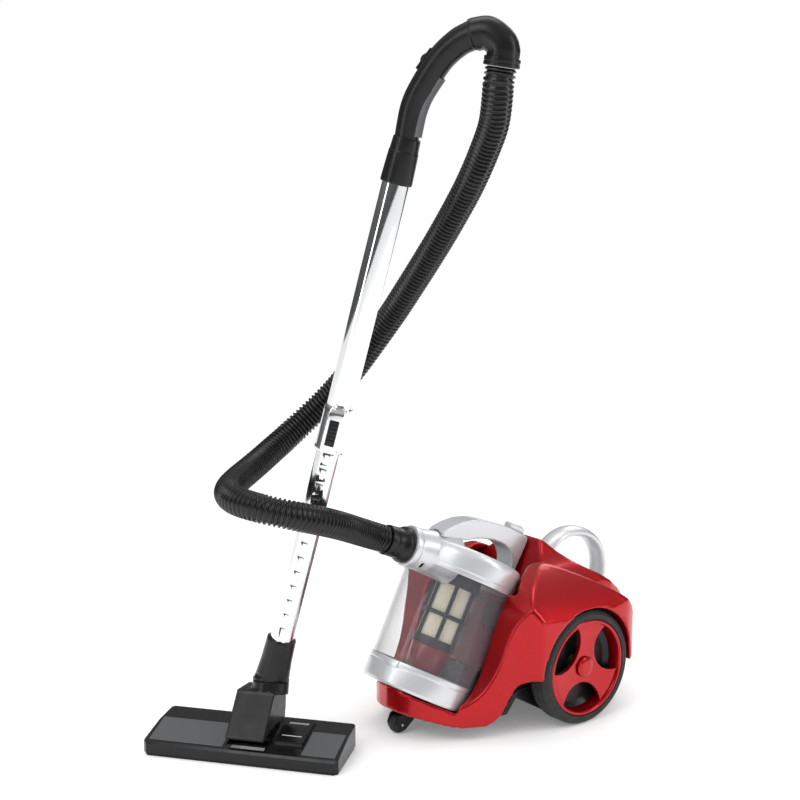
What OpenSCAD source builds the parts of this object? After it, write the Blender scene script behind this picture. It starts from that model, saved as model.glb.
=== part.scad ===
// Bagless canister vacuum cleaner with see-through dust cup, corrugated hose,
// telescopic tube and floor head. Millimetres, +Z up, +X is the way it is pulled.
// The working frame has its origin on the floor under the rear axle; the whole
// part is then moved so that the origin is under the middle of the rigid parts.

/* [Wheels and track] */
// Outside diameter of the rear tyres
wheel_d = 166; // [140:1:190]
// Width of a rear tyre
tyre_w = 34; // [24:1:40]
// Distance from the middle plane to the outer face of a wheel
wheel_face = 143; // [135:1:150]
// Diameter of the stub axles
axle_d = 10; // [8:0.5:14]
// Diameter of the front caster wheel
caster_d = 26; // [20:1:30]

/* [Dust cup] */
// Outside diameter of the clear cup at its lower edge
cup_d = 151; // [140:1:156]
// Extra diameter of the clear cup at its upper edge
cup_flare = 8; // [0:1:10]
// Height of the clear wall
cup_h = 149; // [130:1:160]
// Lean of the cup away from vertical
cup_tilt = 29; // [26:1:32]
// Thickness of the clear wall
cup_wall = 2.4; // [2:0.1:3.5]
// Height of the cup lid
lid_h = 34; // [28:1:38]
// Bore of the hose inlet
inlet_d = 42; // [38:0.5:46]

/* [Tube and grip] */
// Outside diameter of the upper (sliding) tube
tube_d = 35; // [33:0.5:38]
// Length of lower tube in sight when fully drawn out
tube_lower = 275; // [240:5:300]
// Length of the upper tube including its flared end
tube_upper = 374; // [340:2:400]
// Travel of the telescopic tube
tube_travel = 235; // [150:5:240]
// Lean of the tube away from vertical
wand_lean = 15; // [12:1:18]

/* [Floor head] */
// Width of the floor head
head_w = 275; // [250:1:290]
// Depth of the floor head
head_d = 110; // [100:1:120]
// Height of the floor head
head_h = 34; // [31:1:38]

/* [Hose] */
// Outside diameter of the hose
hose_d = 39; // [36:0.5:42]

/* [Hidden] */
$fn = 64;
e = 0.01;
home = [-188.6, -4.2, 0];
wheel_r = wheel_d / 2;
axle_z = wheel_r;
tyre_y = wheel_face - tyre_w;
rim_r = wheel_r - 13;
well_r = wheel_r + 4;
cup_r = cup_d / 2;
cup_top_r = cup_r + cup_flare / 2;
cup_foot = [188, 0, 79];
lid_r = cup_top_r + 2.5;
bottom_h = 33;
bed_z = 38;
cage_r = 31;
port_yaw = -8;
port_rise = 22;
port_at = [148, 0, 240];
port_len = 66;
cuff_end = port_len + 36;
foot = [381, -63, 153];
tube_end = tube_lower + tube_upper;
caster_x = 230;
slider_turn = -75;
wand_heading = 122.6;
tube_r = tube_d / 2;
inner_r = tube_r - 1.5;
seam_z = -66;
head_heading = 37;
head_at = [424, -73.5, 0];
hinge_x = -30;
hinge_z = 22;
neck_y = 5;
swivel_back = 16;
hose_r = hose_d / 2;

// points the hose runs through, from the port connector to the grip elbow
hose_points = [
    [241.93, -13.23, 278.29], [268, -15, 289], [303, -6, 304], [341, 12, 320], [381, 23, 335],
    [420, 16, 347], [450, -10, 356], [458, -56, 360], [427, -112, 361], [346, -167, 375],
    [273, -182, 411], [217, -150, 473], [185, -87, 563], [180, -34, 623], [182, 28, 688],
    [188, 80, 742], [193, 108, 772], [198, 134, 804], [206, 160, 836], [215, 176, 862],
    [221.59, 186.29, 886.91], [220.62, 187.81, 898.27], [219.95, 188.86, 906.17]
];

// Which piece to show

// ---------------------------------------------------------------- helpers

// smooth curve through points, n steps between neighbours
function knot(P, i) = P[max(0, min(len(P) - 1, i))];
function blend_pt(a, b, c, d, t) =
    0.5 * ((2 * b) + (c - a) * t + (2 * a - 5 * b + 4 * c - d) * t * t
    + (3 * b - a - 3 * c + d) * t * t * t);
function smooth(P, n) = concat(
    [for (i = [0 : len(P) - 2], k = [0 : n - 1])
        blend_pt(knot(P, i - 1), P[i], P[i + 1], knot(P, i + 2), k / n)],
    [P[len(P) - 1]]);

function unit(v) = v / norm(v);
function heading(P, i) = unit(knot(P, i + 1) - knot(P, i - 1));
// a side direction that stays square to the path without twisting
function sides(P, i = 0, s = [0, 0, 1], out = []) =
    i == len(P) ? out :
    let (t = heading(P, i), q = unit(s - (s * t) * t))
    sides(P, i + 1, q, concat(out, [q]));

// half outline drawn in from its front and its sides
function inset(P) = [for (p = P) [p[0] - 3.6, p[1] * 0.965]];
// half outline on +Y closed with its mirror image
function closed(P) = concat(P, [for (i = [len(P) - 1 : -1 : 0]) if (P[i][1] != 0)
    [P[i][0], -P[i][1]]]);

// tube or bar along a path: half sizes a (side) and b (square to it)
module sweep(P, a, b, n, side = [0, 0, 1]) {
    S = sides(P, 0, side);
    m = len(P);
    A = is_list(a) ? a : [for (i = [0 : m - 1]) a];
    B = is_list(b) ? b : [for (i = [0 : m - 1]) b];
    pts = [for (i = [0 : m - 1], k = [0 : n - 1])
        P[i] + A[i] * cos(360 * k / n) * S[i]
        + B[i] * sin(360 * k / n) * cross(heading(P, i), S[i])];
    walls = [for (i = [0 : m - 2], k = [0 : n - 1])
        [i * n + k, i * n + (k + 1) % n, (i + 1) * n + (k + 1) % n, (i + 1) * n + k]];
    split = [for (w = walls) each [[w[0], w[2], w[1]], [w[0], w[3], w[2]]]];
    ends = [[for (k = [0 : n - 1]) k], [for (k = [0 : n - 1]) m * n - 1 - k]];
    polyhedron(pts, concat(split, ends), convexity = 6);
}

// side view outline given as [x, z], drawn between two y planes
module side_slab(P, y0, y1) {
    translate([0, y1, 0])
        rotate([90, 0, 0])
            linear_extrude(y1 - y0)
                polygon(P);
}
// front view outline given as [y, z], drawn between two x planes
module front_slab(P, x0, x1) {
    translate([x0, 0, 0])
        rotate([90, 0, 90])
            linear_extrude(x1 - x0)
                polygon(P);
}
module across(r, y0, y1) {
    translate([0, y0, 0])
        rotate([-90, 0, 0])
            cylinder(r = r, h = y1 - y0);
}
module both_sides() {
    children();
    mirror([0, 1, 0])
        children();
}
module place() translate(home) children();
module on_cup() translate(cup_foot) rotate([0, -cup_tilt, 0]) children();
module on_port() translate(port_at) rotate([0, 90 - port_rise, port_yaw]) children();
module on_wand() translate(foot) rotate([0, wand_lean, wand_heading]) children();
module on_head() translate(head_at) rotate([0, 0, head_heading]) children();
module on_rear() translate([-126, 0, 154]) rotate([0, -37, 0]) children();

// everything below the level the cup stands on, seen from the cup's frame
module under_bed(gap) {
    rotate([0, cup_tilt, 0])
        translate([-150, -150, bed_z - gap - cup_foot[2] - 100])
            cube([300, 300, 100]);
}
// room the cup needs in the body
module cup_room(gap) {
    on_cup()
        difference() {
            translate([0, 0, -bottom_h - gap])
                cylinder(r = lid_r + gap, h = 300);
            under_bed(gap);
        }
}

// ---------------------------------------------------------------- outlines

fender_side = concat(
    smooth([[-112, 74], [-115, 104], [-103, 142], [-76, 172], [-38, 196], [0, 216],
        [28, 226], [56, 219], [84, 204], [106, 182], [119, 160], [128, 136], [136, 109],
        [148, 84], [166, 63], [192, 51], [218, 56], [240, 68], [249, 75]], 3),
    smooth([[253, 66], [252, 52], [249, 40], [238, 35], [221, 30], [205, 25], [188, 21],
        [170, 19], [152, 21], [138, 30], [128, 46], [121, 63], [114, 76], [104, 82], [96, 84]], 3));
fender_plan = smooth([[250, 0], [243, 28], [226, 54], [200, 78], [170, 94], [140, 108],
    [118, 120], [104, 134], [95, 143], [82, 147], [0, 148], [-60, 147], [-84, 143],
    [-104, 130], [-120, 104]], 4);
fender_front = concat([[0, 20], [0, 232]],
    smooth([[62, 230], [84, 224], [106, 212], [124, 198], [137, 184], [146, 168], [150, 150]], 4),
    [[150, 20]]);
shell_side = concat(
    [[92, 62], [70, 104], [26, 190], [2, 238]],
    smooth([[-1, 247], [-8, 246], [-30, 226], [-52, 208], [-76, 194], [-104, 174],
        [-132, 152], [-154, 128], [-164, 100], [-164, 76], [-152, 60]], 4));
shell_front = concat([[0, 40], [0, 260]],
    smooth([[30, 256], [40, 244], [50, 228], [62, 218], [80, 208], [94, 192], [97, 170]], 4),
    [[97, 40]]);
shell_room = concat([[0, -10], [0, 262]],
    [for (p = shell_front) if (p[0] > 0) [p[0] + 0.06, p[1] + 0.06]], [[97.06, -10]]);
shell_plan = smooth([[160, 97], [-60, 97], [-100, 94], [-132, 80], [-152, 52],
    [-160, 24], [-165, 0]], 4);

// ---------------------------------------------------------------- body

module base_pan() {
    color([0.05, 0.05, 0.055])
    place() difference() {
        intersection() {
            side_slab([[-150, 58], [-138, 40], [-110, 28], [-60, 18], [40, 15], [99, 50],
                [114, 28], [170, 28], [184, 31.4], [232, 31.6], [235, 34], [235, 38],
                [190, 34], [119, 32.4], [104, 56], [93, 61], [-151, 59.9]], -101, 101);
            linear_extrude(100)
                polygon(closed([[235, 20], [220, 46], [195, 70], [165, 86], [120, 98],
                    [100, 101], [-104, 101], [-140, 72], [-151, 40]]));
        }
        // hollow over the floor of the pan
        intersection() {
            side_slab([[-146, 62], [-134, 43], [-108, 31.5], [-59, 21.5], [39, 18.5],
                [90, 48], [90, 62]], -97, 97);
            linear_extrude(100)
                polygon([[100, 97], [-102, 97], [-137, 69], [-147, 39], [-147, -39],
                    [-137, -69], [-102, -97], [100, -97]]);
        }
        // caster swivel hole
        translate([210, 0, 20])
            cylinder(r = 6.05, h = 40);
        // screw holes
        for (x = [-100, 70], s = [-1, 1])
            translate([x, s * 60, 0])
                cylinder(r = 2.2, h = 60);
        // cord opening
        translate([-160, 40, 44])
            cube([20, 24, 30]);
    }
    color([0.05, 0.05, 0.055])
    place() both_sides() {
        // axle boss and inner wheel guard
        difference() {
            union() {
                translate([0, 96, axle_z])
                    rotate([-90, 0, 0])
                        cylinder(r = 16, h = 6);
                side_slab([[-16, 20], [16, 20], [14, axle_z], [-14, axle_z]], 97.2, 101);
            }
            translate([0, 90, axle_z])
                rotate([-90, 0, 0])
                    cylinder(r = axle_d / 2, h = 20);
        }
    }
}

module fender_shell() {
    color([0.72, 0.02, 0.03])
    place() difference() {
        intersection() {
            side_slab(fender_side, -160, 160);
            linear_extrude(260)
                polygon(closed(fender_plan));
            union() both_sides() front_slab(fender_front, -200, 320);
        }
        // wheel wells and the axle bosses
        both_sides()
            translate([0, 103, axle_z])
                rotate([-90, 0, 0]) {
                    cylinder(r = well_r, h = 60);
                    translate([0, 0, -13])
                        cylinder(r = 16.1, h = 14);
                }
        // pocket behind the outer face, open to the inside
        both_sides()
            intersection() {
                difference() {
                    side_slab([for (p = fender_side) [p[0] * 0.955 - 1, 10 + p[1] * 0.93]], 97, 144);
                    translate([0, 90, axle_z])
                        rotate([-90, 0, 0])
                            cylinder(r = well_r + 3, h = 70);
                }
                linear_extrude(200)
                    polygon(closed(inset(fender_plan)));
                front_slab([for (p = fender_front) [p[0] - 5, p[1] - 7]], -200, 320);
                translate([-97, 90, 84])
                    cube([208, 60, 108]);
            }
        // room for the middle shell
        both_sides()
            front_slab(shell_room, -200, 92.1);
        translate([-200, -63, -10])
            cube([320, 126, 260]);
        // hollow under the toe
        intersection() {
            side_slab([[60, -10], [60, 64], [93, 64], [106, 57], [119.5, 32.8], [182, 34],
                [190, 36.4], [237, 60], [247, 56], [247, -10]], -140, 140);
            linear_extrude(120)
                polygon(closed(inset(fender_plan)));
            translate([-200, -101.5, -20])
                cube([460, 203, 200]);
        }
        // seat of the dust cup
        cup_room(1.2);
    }
}

module body_shell() {
    color([0.74, 0.02, 0.03])
    place() difference() {
        intersection() {
            side_slab(shell_side, -97, 97);
            union() both_sides() front_slab(shell_front, -200, 200);
            linear_extrude(280)
                polygon(closed(shell_plan));
        }
        // inside
        intersection() {
            side_slab([[84, 50], [64, 104], [22, 184], [2, 222], [-12, 222], [-52, 202],
                [-78, 188], [-106, 168], [-134, 146], [-152, 122], [-160, 98], [-160, 76],
                [-148, 50]], -94, 94);
            union() both_sides() front_slab([[0, 30], [0, 240], [30, 238], [46, 224], [60, 213],
                [78, 203], [90, 190], [93, 170], [93, 30]], -200, 200);
            linear_extrude(280)
                polygon(closed([[160, 93], [-60, 93], [-98, 90], [-129, 77], [-148, 50],
                    [-156, 24], [-161, 0]]));
        }
        cup_room(2);
        // exhaust window at the back
        for (k = [-3 : 3])
            translate([-170, k * 11 - 3.5, 84])
                cube([20, 7, 30]);
        // suction duct to the cup
        translate([40, 0, 128])
            rotate([0, 61, 0])
                cylinder(r = 22, h = 70);
        // button wells
        button_wells(9.2);
        // wheel axle openings
        both_sides()
            translate([0, 80, axle_z])
                rotate([-90, 0, 0])
                    cylinder(r = 16.5, h = 30);
        // cord outlet
        translate([-175, 50, 74])
            rotate([0, 90, 0])
                cylinder(r = 9, h = 60);
    }
}

module button_wells(r) {
    both_sides()
        on_rear()
            translate([26, 48, -14])
                cylinder(r = r, h = 40);
}

module rear_trim() {
    color([0.78, 0.79, 0.8])
    place() difference() {
        on_rear()
            translate([0, 0, 0.6])
                linear_extrude(6)
                    polygon(concat(
                        smooth([[44, 0], [43, 36], [38, 56], [18, 62], [-12, 60], [-30, 50],
                            [-38, 26], [-40, 0]], 4),
                        smooth([[-40, 0], [-38, -26], [-30, -50], [-12, -60], [18, -62],
                            [38, -56], [43, -36], [44, 0]], 4)));
        side_slab(shell_side, -97, 97);
        button_wells(9.2);
    }
}

module carry_handle() {
    color([0.8, 0.81, 0.82])
    place() difference() {
        P = smooth([[-38, 0, 204], [-54, 0, 221], [-78, 0, 234], [-106, 0, 236],
            [-134, 0, 226], [-154, 0, 206], [-162, 0, 182], [-161, 0, 158], [-156, 0, 138]], 4);
        sweep(P, 8, 17, 20, [0, 0, 1]);
        side_slab([for (p = shell_side) [p[0], p[1] + 0.2]], -97, 97);
        on_rear()
            translate([-60, -80, -40])
                cube([104, 160, 46.6]);
    }
}

module push_button() {
    translate([0, 0, -6])
        cylinder(r = 9, h = 15.5);
    translate([0, 0, 9.5])
        cylinder(r1 = 9, r2 = 6.5, h = 1.6);
    translate([0, 0, -8])
        cylinder(r = 10.5, h = 2);
}
module power_button() {
    color([0.75, 0.75, 0.77])
    place() on_rear() translate([26, 48, 0]) push_button();
}
module rewind_button() {
    color([0.75, 0.75, 0.77])
    place() on_rear() translate([26, -48, 0]) push_button();
}

// ---------------------------------------------------------------- running gear

module stub_axles() {
    color([0.6, 0.6, 0.62])
    place() both_sides()
        translate([0, 93, axle_z])
            rotate([-90, 0, 0]) {
                cylinder(r = axle_d / 2, h = wheel_face - 8 - 93);
                translate([0, 0, 0])
                    cylinder(r = axle_d / 2 + 3, h = 2.9);
            }
}
module tyre_shape() {
    translate([0, tyre_y, axle_z])
        rotate([-90, 0, 0])
            rotate_extrude()
                polygon([[rim_r, 0], [wheel_r - 4, 0], [wheel_r - 1, 1.5], [wheel_r, 5],
                    [wheel_r, tyre_w - 7], [wheel_r - 2, tyre_w - 3], [wheel_r - 6, tyre_w],
                    [rim_r, tyre_w]]);
}
module rim_shape() {
    r = rim_r - 0.2;
    translate([0, tyre_y, axle_z])
        rotate([-90, 0, 0])
            difference() {
                union() {
                    difference() {
                        cylinder(r = r, h = tyre_w);
                        translate([0, 0, 4])
                            cylinder(r = r - 5, h = tyre_w);
                    }
                    cylinder(r = 11, h = tyre_w - 8);
                    // three broad arms
                    translate([0, 0, tyre_w - 11])
                        intersection() {
                            cylinder(r = r - 1, h = 8);
                            difference() {
                                cylinder(r = r - 1, h = 8);
                                for (k = [0 : 2])
                                    rotate([0, 0, 120 * k + 82])
                                        translate([60, 0, -1])
                                            cylinder(r = 37, h = 12);
                            }
                        }
                }
                translate([0, 0, -1])
                    cylinder(r = axle_d / 2 + 0.05, h = tyre_w - 5);
                translate([0, 0, tyre_w - 4])
                    cylinder(r = 15.2, h = 10);
            }
}
module cap_shape() {
    translate([0, tyre_y + tyre_w - 4, axle_z])
        rotate([-90, 0, 0])
            cylinder(r = 15, h = 2.5);
}
module tyre_left() color([0.07, 0.07, 0.07]) place() tyre_shape();
module rim_left() color([0.7, 0.02, 0.03]) place() rim_shape();
module hub_cap_left() color([0.7, 0.02, 0.03]) place() cap_shape();
module tyre_right() color([0.07, 0.07, 0.07]) place() mirror([0, 1, 0]) tyre_shape();
module rim_right() color([0.7, 0.02, 0.03]) place() mirror([0, 1, 0]) rim_shape();
module hub_cap_right() color([0.7, 0.02, 0.03]) place() mirror([0, 1, 0]) cap_shape();

module caster_fork() {
    color([0.05, 0.05, 0.055])
    place() difference() {
        union() {
            translate([210, 0, 27])
                cylinder(r = 6, h = 15);
            translate([210, 0, 27])
                cylinder(r = 14, h = 4);
            for (s = [-1, 1])
                translate([0, s * 9, 0])
                    side_slab([[200, 31], [200, 25], [224, 6], [231, 4], [239, 8], [241, 15],
                        [236, 27], [224, 31]], -1.75, 1.75);
            translate([206, -10.7, 28.5])
                cube([24, 21.4, 2.5]);
        }
        translate([caster_x, -20, caster_d / 2])
            rotate([-90, 0, 0])
                cylinder(r = 2, h = 40);
    }
}
module caster_wheel() {
    color([0.08, 0.08, 0.08])
    place() translate([caster_x, -6.5, caster_d / 2])
        rotate([-90, 0, 0])
            difference() {
                cylinder(r = caster_d / 2, h = 13);
                translate([0, 0, -1])
                    cylinder(r = 2.06, h = 20);
            }
}
module caster_pin() {
    color([0.6, 0.6, 0.62])
    place() translate([caster_x, -10.6, caster_d / 2])
        rotate([-90, 0, 0])
            cylinder(r = 2, h = 21.2);
}

// ---------------------------------------------------------------- inside the body

module motor_can() {
    color([0.55, 0.56, 0.58])
    place() translate([-50, -40, 98])
        rotate([0, 90, 0])
            difference() {
                union() {
                    cylinder(r = 40, h = 30);
                    translate([0, 0, 30])
                        cylinder(r = 50, h = 42);
                }
                translate([0, 0, 46])
                    cylinder(r = 46, h = 23);
                translate([0, 0, 60])
                    cylinder(r = 16, h = 20);
                for (k = [0 : 5])
                    rotate([0, 0, 60 * k])
                        translate([26, 0, -1])
                            cylinder(r = 7, h = 20);
            }
    color([0.5, 0.5, 0.52])
    place() translate([-50, -40, 98])
        rotate([0, 90, 0])
            translate([0, 0, 20])
                cylinder(r = 4, h = 44);
}
module motor_fan() {
    color([0.7, 0.71, 0.73])
    place() translate([-50, -40, 98])
        rotate([0, 90, 0])
            translate([0, 0, 49])
                difference() {
                    union() {
                        cylinder(r = 43, h = 1.5);
                        cylinder(r = 8, h = 13);
                        for (k = [0 : 8])
                            rotate([0, 0, 40 * k])
                                translate([7, -0.8, 1])
                                    cube([34, 1.6, 12]);
                    }
                    translate([0, 0, -1])
                        cylinder(r = 4.05, h = 20);
                }
}
module motor_mount() {
    color([0.08, 0.08, 0.08])
    place() translate([22.2, -40, 98])
        rotate([0, 90, 0])
            difference() {
                cylinder(r = 50, h = 5);
                translate([0, 0, -1])
                    cylinder(r = 34, h = 10);
            }
    color([0.08, 0.08, 0.08])
    place() difference() {
        translate([-36, -76, 22])
            cube([14, 72, 44]);
        translate([-60, -40, 98])
            rotate([0, 90, 0])
                cylinder(r = 40.05, h = 60);
    }
}
module motor_filter() {
    color([0.2, 0.2, 0.22])
    place() translate([48, 0, 132.3])
        rotate([0, 61, 0])
            cylinder(r = 19.8, h = 10);
}
module exhaust_filter() {
    color([0.85, 0.84, 0.8])
    place() translate([-146, -36, 80])
        cube([12, 72, 36]);
}
module exhaust_grille() {
    color([0.05, 0.05, 0.055])
    place() intersection() {
        difference() {
            side_slab([[-159.7, 76], [-159.7, 98], [-153.2, 117.5], [-146, 117.5],
                [-146, 76]], -41, 41);
            for (k = [-3 : 3])
                translate([-170, k * 11 - 2.5, 84])
                    cube([30, 5, 30]);
        }
        linear_extrude(280)
            polygon([[0, 60], [-147, 46], [-154.8, 23.5], [-159.8, 0], [-154.8, -23.5],
                [-147, -46], [0, -60]]);
    }
}
module cord_reel() {
    color([0.12, 0.12, 0.12])
    place() translate([-72, 24, 92])
        rotate([-90, 0, 0])
            difference() {
                union() {
                    cylinder(r = 60, h = 2);
                    translate([0, 0, 42])
                        cylinder(r = 60, h = 2);
                    cylinder(r = 46, h = 44);
                }
                translate([0, 0, -1])
                    cylinder(r = 5.05, h = 60);
            }
}
module reel_spindle() {
    color([0.6, 0.6, 0.62])
    place() translate([-72, 19, 92])
        rotate([-90, 0, 0])
            cylinder(r = 5, h = 55);
    color([0.6, 0.6, 0.62])
    place() for (y = [19, 70])
        translate([-80, y, 26])
            cube([16, 3, 69]);
}
module cord_outlet() {
    color([0.05, 0.05, 0.055])
    place() translate([-153, 50, 74])
        rotate([0, 90, 0])
            difference() {
                cylinder(r = 8.8, h = 14);
                translate([0, 0, -1])
                    cylinder(r = 4.5, h = 40);
            }
}
module control_board() {
    color([0.1, 0.35, 0.15])
    place() translate([-100, -88, 150])
        cube([60, 40, 1.6]);
    color([0.1, 0.1, 0.1])
    place() for (k = [0 : 2])
        translate([-92 + 18 * k, -76, 151.6])
            cylinder(r = 5, h = 6);
}
module body_screws() {
    color([0.6, 0.6, 0.62])
    place() for (x = [-100, 70], s = [-1, 1])
        translate([x, s * 60, x < 0 ? 26 : 33.5])
            cylinder(r = 2.1, h = 18);
}

// ---------------------------------------------------------------- dust cup

module cup_wall_clear() {
    color([0.86, 0.88, 0.92, 0.35])
    place() on_cup()
        difference() {
            cylinder(r1 = cup_r, r2 = cup_top_r, h = cup_h);
            translate([0, 0, -1])
                cylinder(r1 = cup_r - cup_wall, r2 = cup_top_r - cup_wall, h = cup_h + 2);
        }
}
module cup_bottom() {
    color([0.74, 0.75, 0.77])
    place() on_cup()
        difference() {
            translate([0, 0, -bottom_h])
                cylinder(r = cup_r + 1.5, h = bottom_h + 3);
            translate([0, 0, -e])
                cylinder(r = cup_r + 0.12, h = 10);
            under_bed(0);
            // hollow
            difference() {
                translate([0, 0, -bottom_h + 3])
                    cylinder(r = cup_r - 3, h = bottom_h + 1);
                under_bed(-3);
            }
            // latch notch
            rotate([0, 0, 14])
                translate([cup_r - 6, -11, -8])
                    cube([20, 22, 13]);
        }
}
module cup_seal() {
    color([0.1, 0.1, 0.1])
    place() on_cup()
        translate([0, 0, cup_h])
            difference() {
                cylinder(r = cup_top_r - 0.2, h = 1.8);
                translate([0, 0, -1])
                    cylinder(r = cup_top_r - 6, h = 6);
            }
}
module door_latch() {
    color([0.74, 0.75, 0.77])
    place() on_cup()
        rotate([0, 0, 14])
            difference() {
                translate([cup_r - 5.6, -10.7, -7.6])
                    cube([9, 21.4, 10.4]);
                translate([0, 0, -0.2])
                    cylinder(r = cup_r + 0.3, h = 40);
                difference() {
                    translate([cup_r - 8, -12, -9])
                        cube([20, 24, 12]);
                    translate([0, 0, -10])
                        cylinder(r = cup_r + 2.4, h = 30);
                }
            }
}
module cup_lid() {
    color([0.78, 0.79, 0.81])
    place() on_cup()
        difference() {
            union() {
                translate([0, 0, cup_h - 6])
                    cylinder(r = lid_r, h = lid_h - 2);
                translate([0, 0, cup_h + lid_h - 8])
                    cylinder(r1 = lid_r, r2 = lid_r - 4, h = 8);
            }
            translate([0, 0, cup_h - 7])
                cylinder(r = cup_top_r + 0.05, h = 8.8);
            translate([0, 0, cup_h - 7])
                cylinder(r = cup_top_r - 4, h = lid_h + 4);
            on_port_cup()
                translate([0, 0, -20])
                    cylinder(r = inlet_d / 2, h = 160);
        }
}
// outline of the lid as a full block, grown by a gap
module lid_block(gap) {
    top = cup_h + lid_h;
    rotate_extrude()
        polygon([[0, -20], [lid_r + gap, -20], [lid_r + gap, top - 8],
            [lid_r - 4 + gap, top + gap], [0, top + gap]]);
}
// the port's own frame seen from the cup's frame
module on_port_cup() {
    rotate([0, cup_tilt, 0])
        translate(port_at - cup_foot)
            rotate([0, 90 - port_rise, port_yaw])
                children();
}
module inlet_port() {
    color([0.78, 0.79, 0.81])
    place() difference() {
        on_port() {
            difference() {
                union() {
                    cylinder(r1 = 33, r2 = 28, h = port_len - 5);
                    translate([0, 0, port_len - 9])
                        cylinder(r = 29.5, h = 9);
                }
                translate([0, 0, -20])
                    cylinder(r = inlet_d / 2, h = 120);
                // bayonet slot in the near side
                rotate([0, 0, 78])
                    translate([22, -3.5, port_len - 24])
                        cube([12, 7, 11]);
            }
        }
        on_cup()
            lid_block(0.1);
    }
}
handle_outer = smooth([[173, 266], [163, 279], [150, 285], [126, 289.5], [100, 288.5], [70, 281],
    [40, 269], [14, 255], [3, 248], [1.5, 242]], 4);
handle_inner = smooth([[34, 206], [33, 222], [42, 239], [64, 252], [92, 260], [116, 262],
    [132, 263]], 4);
module cup_handle() {
    color([0.8, 0.81, 0.83])
    place() difference() {
        intersection() {
            side_slab(concat(handle_outer, [[26, 202], [34, 198]], handle_inner,
                [[150, 260], [166, 260]]), -17, 17);
            union() both_sides() front_slab([[0, 190], [0, 300], [9, 299], [14, 296],
                [17, 290], [17, 190]], -30, 190);
        }
        on_cup()
            lid_block(0.05);
        on_port()
            translate([0, 0, -30])
                cylinder(r = 33.1, h = 120);
        on_button()
            translate([-15.3, -8.3, -9])
                cube([30.6, 16.6, 30]);
    }
}
module on_button() translate([14, 0, 258]) rotate([0, -29.5, 0]) children();
module release_button() {
    color([0.82, 0.83, 0.85])
    place() on_button() {
        translate([-15, -8, -2])
            cube([30, 16, 8.5]);
        translate([-9, 0, 6.5])
            cylinder(r = 5, h = 2);
    }
}
module release_spring() {
    color([0.6, 0.6, 0.62])
    place() on_button()
        translate([0, 0, -9])
            difference() {
                cylinder(r = 5, h = 7);
                translate([0, 0, -1])
                    cylinder(r = 4, h = 9);
            }
}
module filter_cage() {
    color([0.04, 0.04, 0.045])
    place() on_cup()
        difference() {
            union() {
                translate([0, 0, 128])
                    cylinder(r = cage_r + 3, h = 20.8);
                translate([0, 0, 82])
                    cylinder(r = cage_r, h = 6);
                translate([0, 0, 38])
                    cylinder(r = cage_r, h = 12);
                for (k = [0 : 5])
                    rotate([0, 0, 60 * k - 8])
                        translate([cage_r - 3, -2.5, 40])
                            cube([3, 5, 100]);
            }
            translate([0, 0, 41])
                cylinder(r = cage_r - 3.2, h = 110);
        }
}
module filter_pleats() {
    color([0.88, 0.85, 0.76])
    place() on_cup()
        translate([0, 0, 41.2])
            difference() {
                linear_extrude(98)
                    polygon([for (k = [0 : 71])
                        (k % 2 == 0 ? cage_r - 3.5 : cage_r - 7) * [cos(5 * k), sin(5 * k)]]);
                translate([0, 0, -1])
                    cylinder(r = 18, h = 120);
            }
}
module cyclone_cone() {
    color([0.42, 0.02, 0.04])
    place() on_cup()
        difference() {
            translate([0, 0, 3])
                cylinder(r1 = 26, r2 = 29, h = 35);
            translate([0, 0, 2])
                cylinder(r1 = 23, r2 = 26, h = 33);
        }
}

// ---------------------------------------------------------------- hose and grip

module hose_connector() {
    color([0.04, 0.04, 0.045])
    place() on_port()
        difference() {
            union() {
                translate([0, 0, port_len - 18])
                    cylinder(r = inlet_d / 2 - 0.05, h = 20);
                translate([0, 0, port_len + 0.4])
                    cylinder(r = 25.5, h = 10);
                translate([0, 0, port_len + 10])
                    cylinder(r1 = 25.5, r2 = 21.5, h = 6);
                translate([0, 0, port_len + 14])
                    cylinder(r = 21.5, h = cuff_end - port_len - 14);
            }
            translate([0, 0, port_len - 40])
                cylinder(r = 15, h = 120);
        }
}
hose_path = smooth(hose_points, 3);
module hose() {
    color([0.03, 0.03, 0.03])
    place() sweep(hose_path, hose_r, hose_r, 12);
}
grip_points = [[0, 0, tube_end + 36], [-2, 0, tube_end + 62], [-2, 0, tube_end + 84],
    [3, 0, tube_end + 107], [17, 0, tube_end + 146], [33, 0, tube_end + 170],
    [50, 0, tube_end + 184], [60, 0, tube_end + 189]];
// everything beyond the joint between grip and elbow
module past_joint(gap) {
    translate([50, 0, tube_end + 184])
        rotate([0, 58, 0])
            translate([-60, -60, gap])
                cube([120, 120, 120]);
}
module grip_bar(more) {
    P = smooth(grip_points, 4);
    m = len(P);
    sweep(P, [for (i = [0 : m - 1]) 15.2 + more + 3.4 * i / m],
        [for (i = [0 : m - 1]) 15 + more + 3.5 * i / m], 24, [1, 0, 0]);
}
module on_slider() translate([-2, 0, tube_end + 142]) rotate([0, 23, 0]) children();
module grip() {
    color([0.04, 0.04, 0.045])
    place() on_wand()
        difference() {
            grip_bar(0);
            past_joint(0);
            on_slider()
                translate([-14, -7, -16])
                    cube([25, 14, 32]);
        }
}
module grip_insert() {
    color([0.35, 0.35, 0.36])
    place() on_wand()
        difference() {
            P = smooth([[11, 0, tube_end + 48], [10, 0, tube_end + 76], [13.4, 0, tube_end + 99],
                [22.8, 0, tube_end + 125.5]], 4);
            sweep(P, 7, 9, 16, [1, 0, 0]);
            grip_bar(0.1);
        }
}
module air_slider() {
    color([0.05, 0.05, 0.055])
    place() on_wand() on_slider()
        intersection() {
            translate([-6, -6.5, -8])
                cube([16, 13, 16]);
            translate([2, 0, 0])
                sphere(r = 10);
        }
}
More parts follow.
